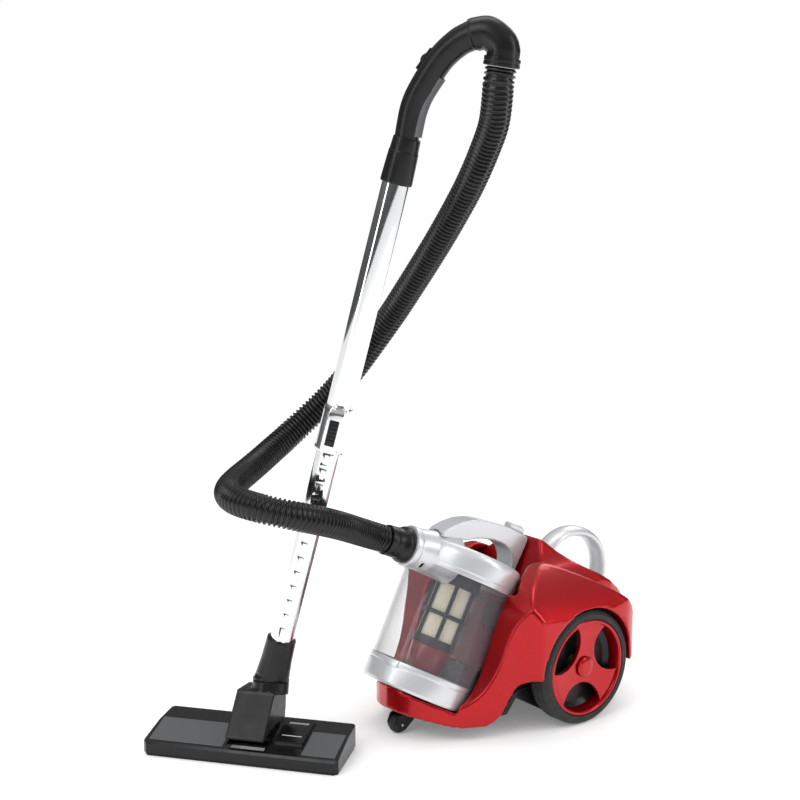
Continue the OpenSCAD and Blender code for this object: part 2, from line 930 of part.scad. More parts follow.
module grip_collar() {
    color([0.05, 0.05, 0.055])
    place() on_wand()
        difference() {
            union() {
                translate([0, 0, tube_end - 14])
                    cylinder(r1 = 20.5, r2 = 19, h = 40);
                translate([0, 0, tube_end + 26])
                    cylinder(r1 = 19, r2 = 17.5, h = 18);
            }
            translate([0, 0, tube_end - 15])
                cylinder(r = tube_r, h = 35);
            translate([0, 0, tube_end + 19])
                cylinder(r = 13, h = 60);
            sweep([for (p = smooth(grip_points, 4)) p - [0, 0, 0.2]], 15.4, 15.2, 24, [1, 0, 0]);
        }
}
elbow_points = [[40, 0, tube_end + 179], [50.5, 0, tube_end + 184.5],
    [68, 0, tube_end + 190.5], [84.5, 0, tube_end + 184.5], [91.9, 0, tube_end + 174.5],
    [92.8, 0, tube_end + 165]];
module on_ring() translate([92.6, 0, tube_end + 168]) rotate([0, -6, 0]) children();
module grip_elbow() {
    color([0.04, 0.04, 0.045])
    place() on_wand()
        difference() {
            intersection() {
                sweep(smooth(elbow_points, 5), 20.5, 20, 24, [1, 0, 0]);
                past_joint(0.05);
            }
            on_ring()
                translate([0, 0, -20])
                    cylinder(r = 26, h = 20);
        }
}
module hose_end_ring() {
    color([0.04, 0.04, 0.045])
    place() on_wand() on_ring()
        translate([0, 0, -11.8])
            difference() {
                cylinder(r = 22.5, h = 11.4);
                translate([0, 0, -1])
                    cylinder(r = 12, h = 20);
            }
}
module upper_tube() {
    color([0.82, 0.83, 0.85])
    place() on_wand()
        translate([0, 0, tube_lower + 52])
            difference() {
                cylinder(r = tube_r, h = tube_upper - 34);
                translate([0, 0, -1])
                    cylinder(r = inner_r + 0.06, h = tube_upper);
            }
}
module tube_sleeve() {
    color([0.82, 0.83, 0.85])
    place() on_wand()
        difference() {
            union() {
                translate([0, 0, tube_lower])
                    cylinder(r = 20.5, h = 5);
                translate([0, 0, tube_lower + 5])
                    cylinder(r = 19.8, h = 52);
                translate([0, 0, tube_lower + 57])
                    cylinder(r1 = 19.8, r2 = tube_r + 0.05, h = 6);
                rotate([0, 0, slider_turn])
                    translate([10, -11, tube_lower + 1])
                        cube([19, 22, 62]);
            }
            translate([0, 0, tube_lower - 1])
                cylinder(r = inner_r + 0.06, h = 53);
            translate([0, 0, tube_lower + 51.9])
                cylinder(r = tube_r, h = 40);
            rotate([0, 0, slider_turn])
                translate([22, -6.2, tube_lower + 12])
                    cube([20, 12.4, 44]);
        }
}
module tube_slider() {
    color([0.16, 0.16, 0.17])
    place() on_wand()
        rotate([0, 0, slider_turn]) {
            translate([22.3, -6, tube_lower + 14])
                cube([8.7, 12, 34]);
            translate([30.6, -6, tube_lower + 20])
                cube([2.6, 12, 5]);
            translate([30.6, -6, tube_lower + 38])
                cube([2.6, 12, 5]);
        }
}
module lower_tube() {
    color([0.82, 0.83, 0.85])
    place() on_wand()
        difference() {
            translate([0, 0, -40])
                cylinder(r = inner_r, h = tube_lower + 160);
            translate([0, 0, -41])
                cylinder(r = inner_r - 2.2, h = tube_lower + 162);
            for (k = [0 : 13])
                rotate([0, 0, slider_turn])
                    translate([inner_r + 5.6, -20, 24 + 21 * k])
                        rotate([-90, 0, 0])
                            cylinder(r = 7, h = 40);
        }
}

// ---------------------------------------------------------------- floor head

// frame of the swivel seam: z along its axis
module on_seam() {
    translate(foot)
        rotate([0, wand_lean, wand_heading])
            translate([0, 0, seam_z])
                rotate([0, -wand_lean, 0])
                    rotate([0, 0, head_heading - wand_heading])
                        rotate([0, -swivel_back, 0])
                            children();
}
module neck_elbow() {
    color([0.05, 0.05, 0.055])
    place() difference() {
        union() {
            on_wand() {
                translate([0, 0, -30])
                    cylinder(r1 = 21, r2 = 20, h = 30);
                translate([0, 0, -54])
                    cylinder(r1 = 23, r2 = 21, h = 24);
            }
            on_seam() {
                translate([0, 0, 0.3])
                    cylinder(r = 25, h = 5);
                translate([0, 0, 5])
                    cylinder(r1 = 24, r2 = 20, h = 12);
            }
        }
        on_wand() {
            translate([0, 0, -40])
                cylinder(r = inner_r, h = 60);
            translate([0, 0, -52])
                cylinder(r = 13, h = 20);
        }
        on_seam()
            translate([0, 0, -1])
                cylinder(r = 14.05, h = 14);
    }
}
module swivel_block() {
    color([0.06, 0.06, 0.065])
    place() difference() {
        union() {
            on_head() {
                side_slab([[hinge_x - 12, hinge_z], [hinge_x - 20, 62], [hinge_x - 18, 78],
                    [-2, 84], [0, 81], [46, 34], [46, 31.5], [20, 36.5], [-14, 36.5]], neck_y - 27, neck_y + 27);
                translate([hinge_x, 0, hinge_z])
                    across(13, neck_y - 27, neck_y + 27);
            }
            on_seam() {
                translate([0, 0, -16])
                    cylinder(r = 25, h = 16);
                translate([0, 0, -1])
                    cylinder(r = 14, h = 10);
            }
        }
        on_head()
            translate([hinge_x, 0, hinge_z])
                across(3.05, -40, 40);
        on_seam()
            translate([0, 0, -40])
                cylinder(r = 11, h = 60);
    }
}
head_half = head_w / 2;
module head_outline(inset, h) {
    w = head_half - inset;
    d = head_d / 2 - inset;
    linear_extrude(h)
        polygon([[d, -w + 5], [d, w - 5], [d - 5, w], [-d + 16, w - 3], [-d, w - 16],
            [-d, -w + 16], [-d + 16, -w + 3], [d - 5, -w]]);
}
module head_cover() {
    color([0.05, 0.05, 0.055])
    place() on_head() difference() {
        intersection() {
            translate([0, 0, 4])
                head_outline(0, head_h);
            side_slab([[head_d / 2, 4], [head_d / 2, 17], [head_d / 2 - 3, 20], [0, head_h - 3],
                [-head_d / 2 + 12, head_h], [-head_d / 2, head_h - 8], [-head_d / 2, 4]],
                -head_half, head_half);
        }
        // neck pocket, open at the back
        translate([-head_d, neck_y - 27.6, 7])
            cube([head_d + 47, 55.2, 60]);
        // air chamber
        translate([-34, -head_half + 10, 3])
            cube([68, head_w - 20, 9]);
        // hinge holes
        translate([hinge_x, 0, hinge_z])
            across(3, -40, 40);
        // pedal well
        translate([-31, 42.5, 7])
            cube([63, 39, 60]);
        // seat of the satin panels
        for (s = [-1, 1])
            panel_shape(s, 0.2, 3);
        // rocker pin of the pedal
        translate([2, 0, 18])
            across(2, 36, 88);
    }
}
// satin inlay on one side of the neck
module panel_shape(s, gap, t) {
    a = atan2(head_h - 3 - 20, head_d / 2 - 3);
    y0 = s > 0 ? 84.5 : -head_half + 6;
    y1 = s > 0 ? head_half - 6 : neck_y - 31;
    translate([0, 0, head_h - 3])
        rotate([0, a, 0])
            translate([-6, y0 - gap, -1.5 - gap / 2])
                cube([head_d / 2 - 1, y1 - y0 + 2 * gap, t]);
}
module head_panel() {
    color([0.32, 0.33, 0.34])
    place() on_head()
        for (s = [-1, 1])
            panel_shape(s, 0, 2);
}
module sole_plate() {
    color([0.12, 0.12, 0.125])
    place() on_head() difference() {
        translate([0, 0, 0])
            head_outline(1.5, 4);
        // mouth and brush slots
        translate([-9, -46, -1])
            cube([18, 92, 10]);
        for (x = [20, -32])
            translate([x, -head_half + 12, -1])
                cube([8, head_w - 24, 10]);
        for (s = [-1, 1])
            translate([-9, s > 0 ? 60 : -120, 1.5])
                cube([18, 60, 10]);
    }
}
module brush_strip() {
    color([0.2, 0.2, 0.2])
    place() on_head()
        for (x = [20.3, -31.7])
            translate([x, -head_half + 12.4, 1])
                cube([7.4, head_w - 24.8, 8]);
}
module head_pedal() {
    color([0.06, 0.06, 0.065])
    place() on_head() difference() {
        side_slab([[-25, 24], [-25, 37], [-6, 38.5], [0, 36.5], [30, 30], [31, 26], [31, 20],
            [6, 13], [-2, 13]], 43, 81);
        translate([2, 0, 18])
            across(2.05, 30, 90);
    }
}
module head_pins() {
    color([0.6, 0.6, 0.62])
    place() on_head() {
        translate([hinge_x, 0, hinge_z])
            across(3, -38, 38);
        translate([2, 0, 18])
            across(2, 37, 87);
    }
}

base_pan();
body_shell();
fender_shell();
rear_trim();
carry_handle();
power_button();
rewind_button();
stub_axles();
tyre_left();
rim_left();
hub_cap_left();
tyre_right();
rim_right();
hub_cap_right();
caster_fork();
caster_wheel();
caster_pin();
motor_can();
motor_fan();
motor_mount();
motor_filter();
exhaust_filter();
exhaust_grille();
cord_reel();
reel_spindle();
cord_outlet();
control_board();
body_screws();
cup_wall_clear();
cup_bottom();
cup_seal();
door_latch();
cup_lid();
inlet_port();
cup_handle();
release_button();
release_spring();
filter_cage();
filter_pleats();
cyclone_cone();
hose_connector();
hose();
hose_end_ring();
grip_elbow();
grip();
grip_insert();
air_slider();
grip_collar();
upper_tube();
tube_sleeve();
tube_slider();
lower_tube();
neck_elbow();
swivel_block();
head_cover();
head_panel();
sole_plate();
brush_strip();
head_pedal();
head_pins();
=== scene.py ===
"""Bagless canister vacuum cleaner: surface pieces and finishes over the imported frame."""

import math

import bmesh
import bpy
import numpy as np
from bpy.props import FloatProperty, FloatVectorProperty, IntProperty, PointerProperty
from mathutils import Matrix, Vector


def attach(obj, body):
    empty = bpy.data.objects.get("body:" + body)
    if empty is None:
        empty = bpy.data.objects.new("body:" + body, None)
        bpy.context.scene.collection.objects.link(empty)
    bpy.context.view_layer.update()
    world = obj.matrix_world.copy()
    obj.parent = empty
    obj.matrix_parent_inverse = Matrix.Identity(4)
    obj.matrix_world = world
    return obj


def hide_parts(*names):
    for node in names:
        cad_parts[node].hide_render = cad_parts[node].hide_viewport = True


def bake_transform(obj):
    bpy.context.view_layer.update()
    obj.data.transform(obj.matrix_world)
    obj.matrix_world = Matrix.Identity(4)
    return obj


bl_info = {
    "name": "Canister Vacuum Cleaner",
    "version": (1, 0, 0),
    "blender": (4, 5, 0),
    "location": "View3D > Sidebar > Vacuum",
    "description": "Builds the visible pieces of a canister vacuum cleaner",
    "category": "Add Mesh",
}

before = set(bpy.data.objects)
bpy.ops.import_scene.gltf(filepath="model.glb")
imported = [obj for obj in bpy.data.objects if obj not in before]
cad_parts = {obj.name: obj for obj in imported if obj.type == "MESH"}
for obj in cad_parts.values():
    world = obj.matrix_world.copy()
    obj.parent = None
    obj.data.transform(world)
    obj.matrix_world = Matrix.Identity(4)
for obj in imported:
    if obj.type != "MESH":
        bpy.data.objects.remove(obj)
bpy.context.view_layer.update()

# ------------------------------------------------------------------ places

HOME = Vector((-0.1886, -0.0042, 0.0))


def turn(axis, degrees):
    return Matrix.Rotation(math.radians(degrees), 4, axis)


def shift(x, y, z):
    return Matrix.Translation((x, y, z))


PLACE = Matrix.Translation(HOME)
CUP = PLACE @ shift(0.188, 0, 0.079) @ turn("Y", -29)
PORT = PLACE @ shift(0.148, 0, 0.240) @ turn("Z", -8) @ turn("Y", 68)
WAND = PLACE @ shift(0.381, -0.063, 0.153) @ turn("Z", 122.6) @ turn("Y", 15)
HEAD_HEADING = 37
HEAD = PLACE @ shift(0.424, -0.0735, 0) @ turn("Z", HEAD_HEADING)
GRIP = WAND @ shift(0, 0, 0.649)
RING = GRIP @ shift(0.0926, 0, 0.168) @ turn("Y", -6)
CUP_HEIGHT = 0.149
TYRE_RADIUS = 0.083
ALONG_Y = turn("X", -90)

HOSE_ROUTE = [
    (0.24193, -0.01323, 0.27829), (0.268, -0.015, 0.289), (0.303, -0.006, 0.304),
    (0.341, 0.012, 0.320), (0.381, 0.023, 0.335), (0.420, 0.016, 0.347),
    (0.450, -0.010, 0.356), (0.458, -0.056, 0.360), (0.427, -0.112, 0.361),
    (0.346, -0.167, 0.375), (0.273, -0.182, 0.411), (0.217, -0.150, 0.473),
    (0.185, -0.087, 0.563), (0.180, -0.034, 0.623), (0.182, 0.028, 0.688),
    (0.188, 0.080, 0.742), (0.193, 0.108, 0.772), (0.198, 0.134, 0.804),
    (0.206, 0.160, 0.836), (0.215, 0.176, 0.862), (0.22159, 0.18629, 0.88691),
    (0.22062, 0.18781, 0.89827), (0.21995, 0.18886, 0.90617),
]


def through(points, steps):
    """Smooth line through points, with that many steps between neighbours."""
    knots = [Vector(p) for p in points]
    last = len(knots) - 1
    line = []
    for i in range(last):
        a, b = knots[max(0, i - 1)], knots[i]
        c, d = knots[i + 1], knots[min(last, i + 2)]
        for k in range(steps):
            t = k / steps
            line.append(
                0.5 * (2 * b + (c - a) * t + (2 * a - 5 * b + 4 * c - d) * t * t
                       + (3 * b - a - 3 * c + d) * t * t * t)
            )
    line.append(knots[last])
    return line


# ------------------------------------------------------------------ sizes and colours


def millimetres(name, description, default, lowest, highest):
    return FloatProperty(name=name, description=description, default=default / 1000,
                         min=lowest / 1000, max=highest / 1000, unit="LENGTH")


def colour(name, description, default):
    return FloatVectorProperty(name=name, description=description, default=default,
                               min=0, max=1, size=3, subtype="COLOR")


class VACUUM_PG_sizes(bpy.types.PropertyGroup):
    """Sizes of the visible detail"""

    hose_pitch: millimetres("Hose pitch", "Distance between two ribs of the hose", 6.2, 4, 12)
    hose_depth: millimetres("Rib depth", "Depth of the groove between two ribs", 3.0, 1, 4)
    tread: IntProperty(name="Tread grooves", description="Grooves round a rear tyre",
                       default=3, min=0, max=5)
    cup_wall: millimetres("Cup wall", "Thickness of the clear cup", 2.4, 1.5, 4)
    pleats: IntProperty(name="Pleats", description="Folds of the filter paper",
                        default=48, min=16, max=80)


class VACUUM_PG_colours(bpy.types.PropertyGroup):
    """Colours of the finishes"""

    red: colour("Red", "Metallic lacquer of the body", (0.43, 0.001, 0.005))
    silver: colour("Silver", "Metallic paint of lid and handles", (0.62, 0.63, 0.65))
    black: colour("Black", "Satin moulding", (0.006, 0.006, 0.0065))
    grey: colour("Panel grey", "Inlays of the floor head", (0.085, 0.088, 0.092))
    smoke: colour("Smoke", "Tint of the clear cup", (0.34, 0.34, 0.37))
    paper: colour("Paper", "Filter paper", (0.86, 0.82, 0.70))


# ------------------------------------------------------------------ mesh helpers


FINISHES = {}


def finish_piece(work, name, finish, body, *, smooth=40, replaces=()):
    """Turns a bmesh into an object with shaded edges, a finish and a body to ride on."""
    mesh = bpy.data.meshes.new(name)
    for face in work.faces:
        face.smooth = True
    limit = math.radians(smooth)
    for edge in work.edges:
        edge.smooth = not (len(edge.link_faces) == 2 and edge.calc_face_angle(0) > limit)
    work.to_mesh(mesh)
    work.free()
    piece = bpy.data.objects.new(name, mesh)
    bpy.context.scene.collection.objects.link(piece)
    piece.data.materials.append(FINISHES[finish])
    if body:
        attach(piece, body)
    if replaces:
        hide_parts(*replaces)
    return piece


def outward(work, merge=1e-6):
    bmesh.ops.remove_doubles(work, verts=work.verts, dist=merge)
    bmesh.ops.recalc_face_normals(work, faces=work.faces)


def join(target, source):
    """Moves the shape of one bmesh into another."""
    carrier = bpy.data.meshes.new("carrier")
    source.to_mesh(carrier)
    source.free()
    target.from_mesh(carrier)
    bpy.data.meshes.remove(carrier)


def placed(own, place, work):
    """Moves a shape to its place, and into another bmesh where one is given."""
    bmesh.ops.transform(own, matrix=place, verts=own.verts)
    if work is None:
        return own
    join(work, own)
    return work


def rounded(points, radius, steps=4):
    """Profile with its inner corners rounded off."""
    out = [Vector(points[0])]
    for a, b, c in zip(points, points[1:], points[2:]):
        a, b, c = Vector(a), Vector(b), Vector(c)
        r = min(radius, (a - b).length * 0.45, (c - b).length * 0.45)
        start, end = b + (a - b).normalized() * r, b + (c - b).normalized() * r
        for k in range(steps + 1):
            t = k / steps
            out.append((1 - t) ** 2 * start + 2 * t * (1 - t) * b + t * t * end)
    out.append(Vector(points[-1]))
    return out


def lathe(profile, place, steps=96, work=None):
    """Full turn of a profile of (radius, height) about the Z axis of a place."""
    own = bmesh.new()
    verts = [own.verts.new((p[0], 0, p[1])) for p in profile]
    edges = [own.edges.new(pair) for pair in zip(verts, verts[1:])]
    bmesh.ops.spin(own, geom=verts + edges, axis=(0, 0, 1), cent=(0, 0, 0),
                   dvec=(0, 0, 0), angle=math.tau, steps=steps, use_merge=True,
                   use_duplicate=False)
    outward(own)
    return placed(own, place, work)


def block(size, place, bevel=0.001, segments=3, work=None):
    """Rounded box about the origin of a place."""
    own = bmesh.new()
    bmesh.ops.create_cube(own, size=1)
    bmesh.ops.scale(own, vec=size, verts=own.verts)
    bmesh.ops.bevel(own, geom=own.edges, offset=bevel, offset_type="OFFSET",
                    segments=segments, profile=0.5, affect="EDGES", material=-1)
    return placed(own, place, work)


def slab(outline, low, high, place, bevel=0.0, segments=3, work=None):
    """Outline in the XY plane of a place drawn from one height to another."""
    own = bmesh.new()
    face = own.faces.new([own.verts.new((x, y, low)) for x, y in outline])
    made = bmesh.ops.extrude_face_region(own, geom=[face])
    top = [v for v in made["geom"] if isinstance(v, bmesh.types.BMVert)]
    bmesh.ops.translate(own, vec=(0, 0, high - low), verts=top)
    bmesh.ops.recalc_face_normals(own, faces=own.faces)
    if bevel:
        sharp = [e for e in own.edges if e.calc_face_angle(0) > math.radians(25)]
        bmesh.ops.bevel(own, geom=sharp, offset=bevel, offset_type="OFFSET",
                        segments=segments, profile=0.5, affect="EDGES", material=-1)
    return placed(own, place, work)


def tube(line, radius, around, side=(0, 0, 1), place=None):
    """Grid rolled round a line and closed at both ends; radius is a function of the ring."""
    rings = len(line)
    own = bmesh.new()
    bmesh.ops.create_grid(own, x_segments=around, y_segments=rings - 1, size=1)
    s = Vector(side)
    frames = []
    for i, p in enumerate(line):
        t = (line[min(rings - 1, i + 1)] - line[max(0, i - 1)]).normalized()
        s = (s - s.dot(t) * t).normalized()
        frames.append((p, s.copy(), t.cross(s)))
    for v in own.verts:
        k = round((v.co.x + 1) / 2 * around)
        i = round((v.co.y + 1) / 2 * (rings - 1))
        p, a, b = frames[i]
        angle = math.tau * k / around
        v.co = p + radius(i) * (math.cos(angle) * a + math.sin(angle) * b)
    outward(own, 1e-5)
    bmesh.ops.holes_fill(own, edges=[e for e in own.edges if e.is_boundary], sides=0)
    bmesh.ops.recalc_face_normals(own, faces=own.faces)
    if place is not None:
        bmesh.ops.transform(own, matrix=place, verts=own.verts)
    return own


def cad_copy(node):
    """Merged copy of a CAD node's shape with its flat faces joined."""
    work = bmesh.new()
    work.from_mesh(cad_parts[node].data)
    bmesh.ops.remove_doubles(work, verts=work.verts, dist=2e-6)
    bmesh.ops.dissolve_limit(work, angle_limit=math.radians(0.6), verts=work.verts,
                             edges=work.edges, use_dissolve_boundaries=False)
    return work


def modified(piece):
    """Puts what the modifiers make into the piece's own mesh."""
    bpy.context.view_layer.update()
    shape = bpy.data.meshes.new_from_object(
        piece.evaluated_get(bpy.context.evaluated_depsgraph_get()))
    piece.modifiers.clear()
    old = piece.data
    piece.data = shape
    bpy.data.meshes.remove(old)


def bevelled(node, finish, body, width, angle=32):
    """CAD piece whose moulded edges are rounded."""
    piece = finish_piece(cad_copy(node), node + "_skin", finish, body, smooth=angle,
                         replaces=(node,))
    soft = piece.modifiers.new("Edges", "BEVEL")
    soft.width = width
    soft.segments = 2
    soft.limit_method = "ANGLE"
    soft.angle_limit = math.radians(angle)
    soft.use_clamp_overlap = True
    soft.harden_normals = True


def moulded(node, finish, body, voxel, rounds):
    """CAD piece turned into one flowing moulded skin."""
    work = bmesh.new()
    work.from_mesh(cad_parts[node].data)
    bmesh.ops.remove_doubles(work, verts=work.verts, dist=2e-6)
    piece = finish_piece(work, node + "_skin", finish, None)
    cells = piece.modifiers.new("Cells", "REMESH")
    cells.mode = "VOXEL"
    cells.voxel_size = voxel
    modified(piece)
    flowing(piece.data, rounds)
    piece.data.shade_smooth()
    piece.data.materials.clear()
    piece.data.materials.append(FINISHES[finish])
    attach(piece, body)
    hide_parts(node)


EASE, SWELL = 0.55, -0.56


def flowing(mesh, rounds):
    """Evens a dense mesh without shrinking it: each round eases, then swells."""
    count = len(mesh.vertices)
    co = np.empty(count * 3, np.float32)
    mesh.vertices.foreach_get("co", co)
    co = co.reshape(-1, 3).astype(float)
    pairs = np.empty(len(mesh.edges) * 2, np.int32)
    mesh.edges.foreach_get("vertices", pairs)
    a, b = pairs.reshape(-1, 2).T
    degree = np.bincount(a, minlength=count) + np.bincount(b, minlength=count)
    degree = np.maximum(degree, 1)[:, None]
    for step in range(rounds * 2):
        total = np.empty_like(co)
        for axis in range(3):
            total[:, axis] = (np.bincount(a, co[b, axis], minlength=count)
                              + np.bincount(b, co[a, axis], minlength=count))
        co += (EASE, SWELL)[step % 2] * (total / degree - co)
    mesh.vertices.foreach_set("co", co.astype(np.float32).ravel())
    mesh.update()


# ------------------------------------------------------------------ finishes


class Value:
    """A number that varies over a surface; Python maths on it adds nodes."""

    def __init__(self, board, socket):
        self.board, self.socket = board, socket

    def _math(self, operation, *inputs):
        return self.board.node("ShaderNodeMath", {"operation": operation},
                               dict(enumerate(inputs)))

    def __add__(self, other):
        return self._math("ADD", self, other)

    __radd__ = __add__

    def __sub__(self, other):
        return self._math("SUBTRACT", self, other)

    def __rsub__(self, other):
        return self._math("SUBTRACT", other, self)

    def __mul__(self, other):
        return self._math("MULTIPLY", self, other)

    __rmul__ = __mul__

    def power(self, exponent):
        return self._math("POWER", self, exponent)


class Finish:
    """One material being wired."""

    def __init__(self, name, base, roughness, **constants):
        self.material = bpy.data.materials.new(name)
        self.material.use_nodes = True
        self.tree = self.material.node_tree
        self.shader = self.tree.nodes["Principled BSDF"]
        self.set("Base Color", (*base, 1))
        self.set("Roughness", roughness)
        for key, value in constants.items():
            self.set(key.replace("_", " "), value)
        self.place = self.node("ShaderNodeTexCoord", {}, {}, "Object")

    def set(self, socket, value):
        self.shader.inputs[socket].default_value = value

    def feed(self, socket, value):
        self.tree.links.new(value.socket, self.shader.inputs[socket])
        return self

    def node(self, kind, settings, inputs, output=0):
        made = self.tree.nodes.new(kind)
        for key, value in settings.items():
            if key == "stops":
                ramp = made.color_ramp
                while len(ramp.elements) < len(value):
                    ramp.elements.new(0.5)
                for element, (position, shade) in zip(ramp.elements, value):
                    element.position, element.color = position, shade
            else:
                setattr(made, key, value)
        for key, value in inputs.items():
            if isinstance(value, Value):
                self.tree.links.new(value.socket, made.inputs[key])
            else:
                made.inputs[key].default_value = value
        return Value(self, made.outputs[output])

    def noise(self, scale, detail=3, roughness=0.5, at=None):
        return self.node("ShaderNodeTexNoise", {}, {
            "Vector": at or self.place, "Scale": scale, "Detail": detail,
            "Roughness": roughness}, "Fac")

    def mix(self, share, first, second):
        """Colour between two colours."""
        made = self.tree.nodes.new("ShaderNodeMix")
        made.data_type = "RGBA"
        for key, value in ((0, share), (6, first), (7, second)):
            if isinstance(value, Value):
                self.tree.links.new(value.socket, made.inputs[key])
            else:
                made.inputs[key].default_value = value if key == 0 else (*value, 1)
        return Value(self, made.outputs[2])

    def between(self, value, low, high, to_low, to_high):
        return self.node("ShaderNodeMapRange", {}, {
            0: value, 1: low, 2: high, 3: to_low, 4: to_high})

    def bump(self, height, strength, distance):
        normal = self.node("ShaderNodeBump", {}, {
            "Strength": strength, "Distance": distance, "Height": height}, "Normal")
        return self.feed("Normal", normal)

    def turned(self, degrees, scale):
        """Object coordinates turned about Z and stretched."""
        return self.node("ShaderNodeMapping", {"vector_type": "TEXTURE"}, {
            "Vector": self.place, "Rotation": (0, 0, math.radians(degrees)), "Scale": scale})


def shade(colour_value, factor):
    return tuple(min(1.0, c * factor) for c in colour_value)


# finish: name, base, roughness, mottling (scale, detail, darkest, lightest),
# bump (scale, detail, strength, distance), roughness (scale, detail, from, to), constants
MOTTLED = {
    "steel": ("bright_steel", (0.55, 0.55, 0.57), 0.3,
              (40, 3, (0.48, 0.48, 0.5), (0.62, 0.62, 0.63)),
              None, (300, 3, 0.22, 0.4), {"Metallic": 1.0}),
    "motor": ("cast_motor_metal", (0.45, 0.46, 0.48), 0.5,
              (55, 4, (0.38, 0.39, 0.41), (0.52, 0.53, 0.55)),
              (500, 3, 0.2, 0.0003), None, {"Metallic": 0.9}),
    "tyre": ("tyre_rubber", (0.012, 0.012, 0.012), 0.62,
             (45, 4, (0.009, 0.009, 0.009), (0.024, 0.023, 0.022)),
             (900, 3, 0.3, 0.0002), (120, 4, 0.5, 0.72), {"Specular IOR Level": 0.4}),
    "rubber": ("soft_rubber", (0.02, 0.02, 0.02), 0.75,
               (60, 3, (0.014, 0.014, 0.014), (0.03, 0.03, 0.03)),
               (700, 2, 0.2, 0.0002), None, {}),
    "reel": ("reel_moulding", (0.03, 0.03, 0.032), 0.6,
             (50, 3, (0.022, 0.022, 0.024), (0.045, 0.045, 0.047)),
             (800, 2, 0.2, 0.0002), None, {}),
    "cage": ("cage_moulding", (0.014, 0.014, 0.016), 0.35,
             (60, 3, (0.010, 0.010, 0.012), (0.026, 0.026, 0.028)),
             (900, 2, 0.1, 0.0001), None, {}),
    "cone": ("dark_red_moulding", (0.22, 0.006, 0.014), 0.3,
             (40, 3, (0.17, 0.004, 0.01), (0.28, 0.008, 0.02)),
             (600, 2, 0.1, 0.0001), None, {"Coat Weight": 0.4}),
    "insert": ("insert_grey", (0.10, 0.10, 0.105), 0.6,
               (160, 2, (0.07, 0.07, 0.075), (0.13, 0.13, 0.135)),
               (1200, 2, 0.3, 0.0002), None, {}),
    "mark": ("mark_grey", (0.55, 0.55, 0.56), 0.45,
             (300, 3, (0.45, 0.45, 0.46), (0.65, 0.65, 0.66)),
             (900, 2, 0.1, 0.0001), None, {}),
}


def make_mottled():
    for key, (name, base, rough, mottle, bump, gloss, constants) in MOTTLED.items():
        f = Finish(name, base, rough, **constants)
        scale, detail, darkest, lightest = mottle
        f.feed("Base Color", f.mix(f.noise(scale, detail), darkest, lightest))
        if gloss:
            scale, detail, low, high = gloss
            f.feed("Roughness", f.between(f.noise(scale, detail), 0.3, 0.7, low, high))
        if bump:
            scale, detail, strength, distance = bump
            f.bump(f.noise(scale, detail), strength, distance)
        FINISHES[key] = f.material


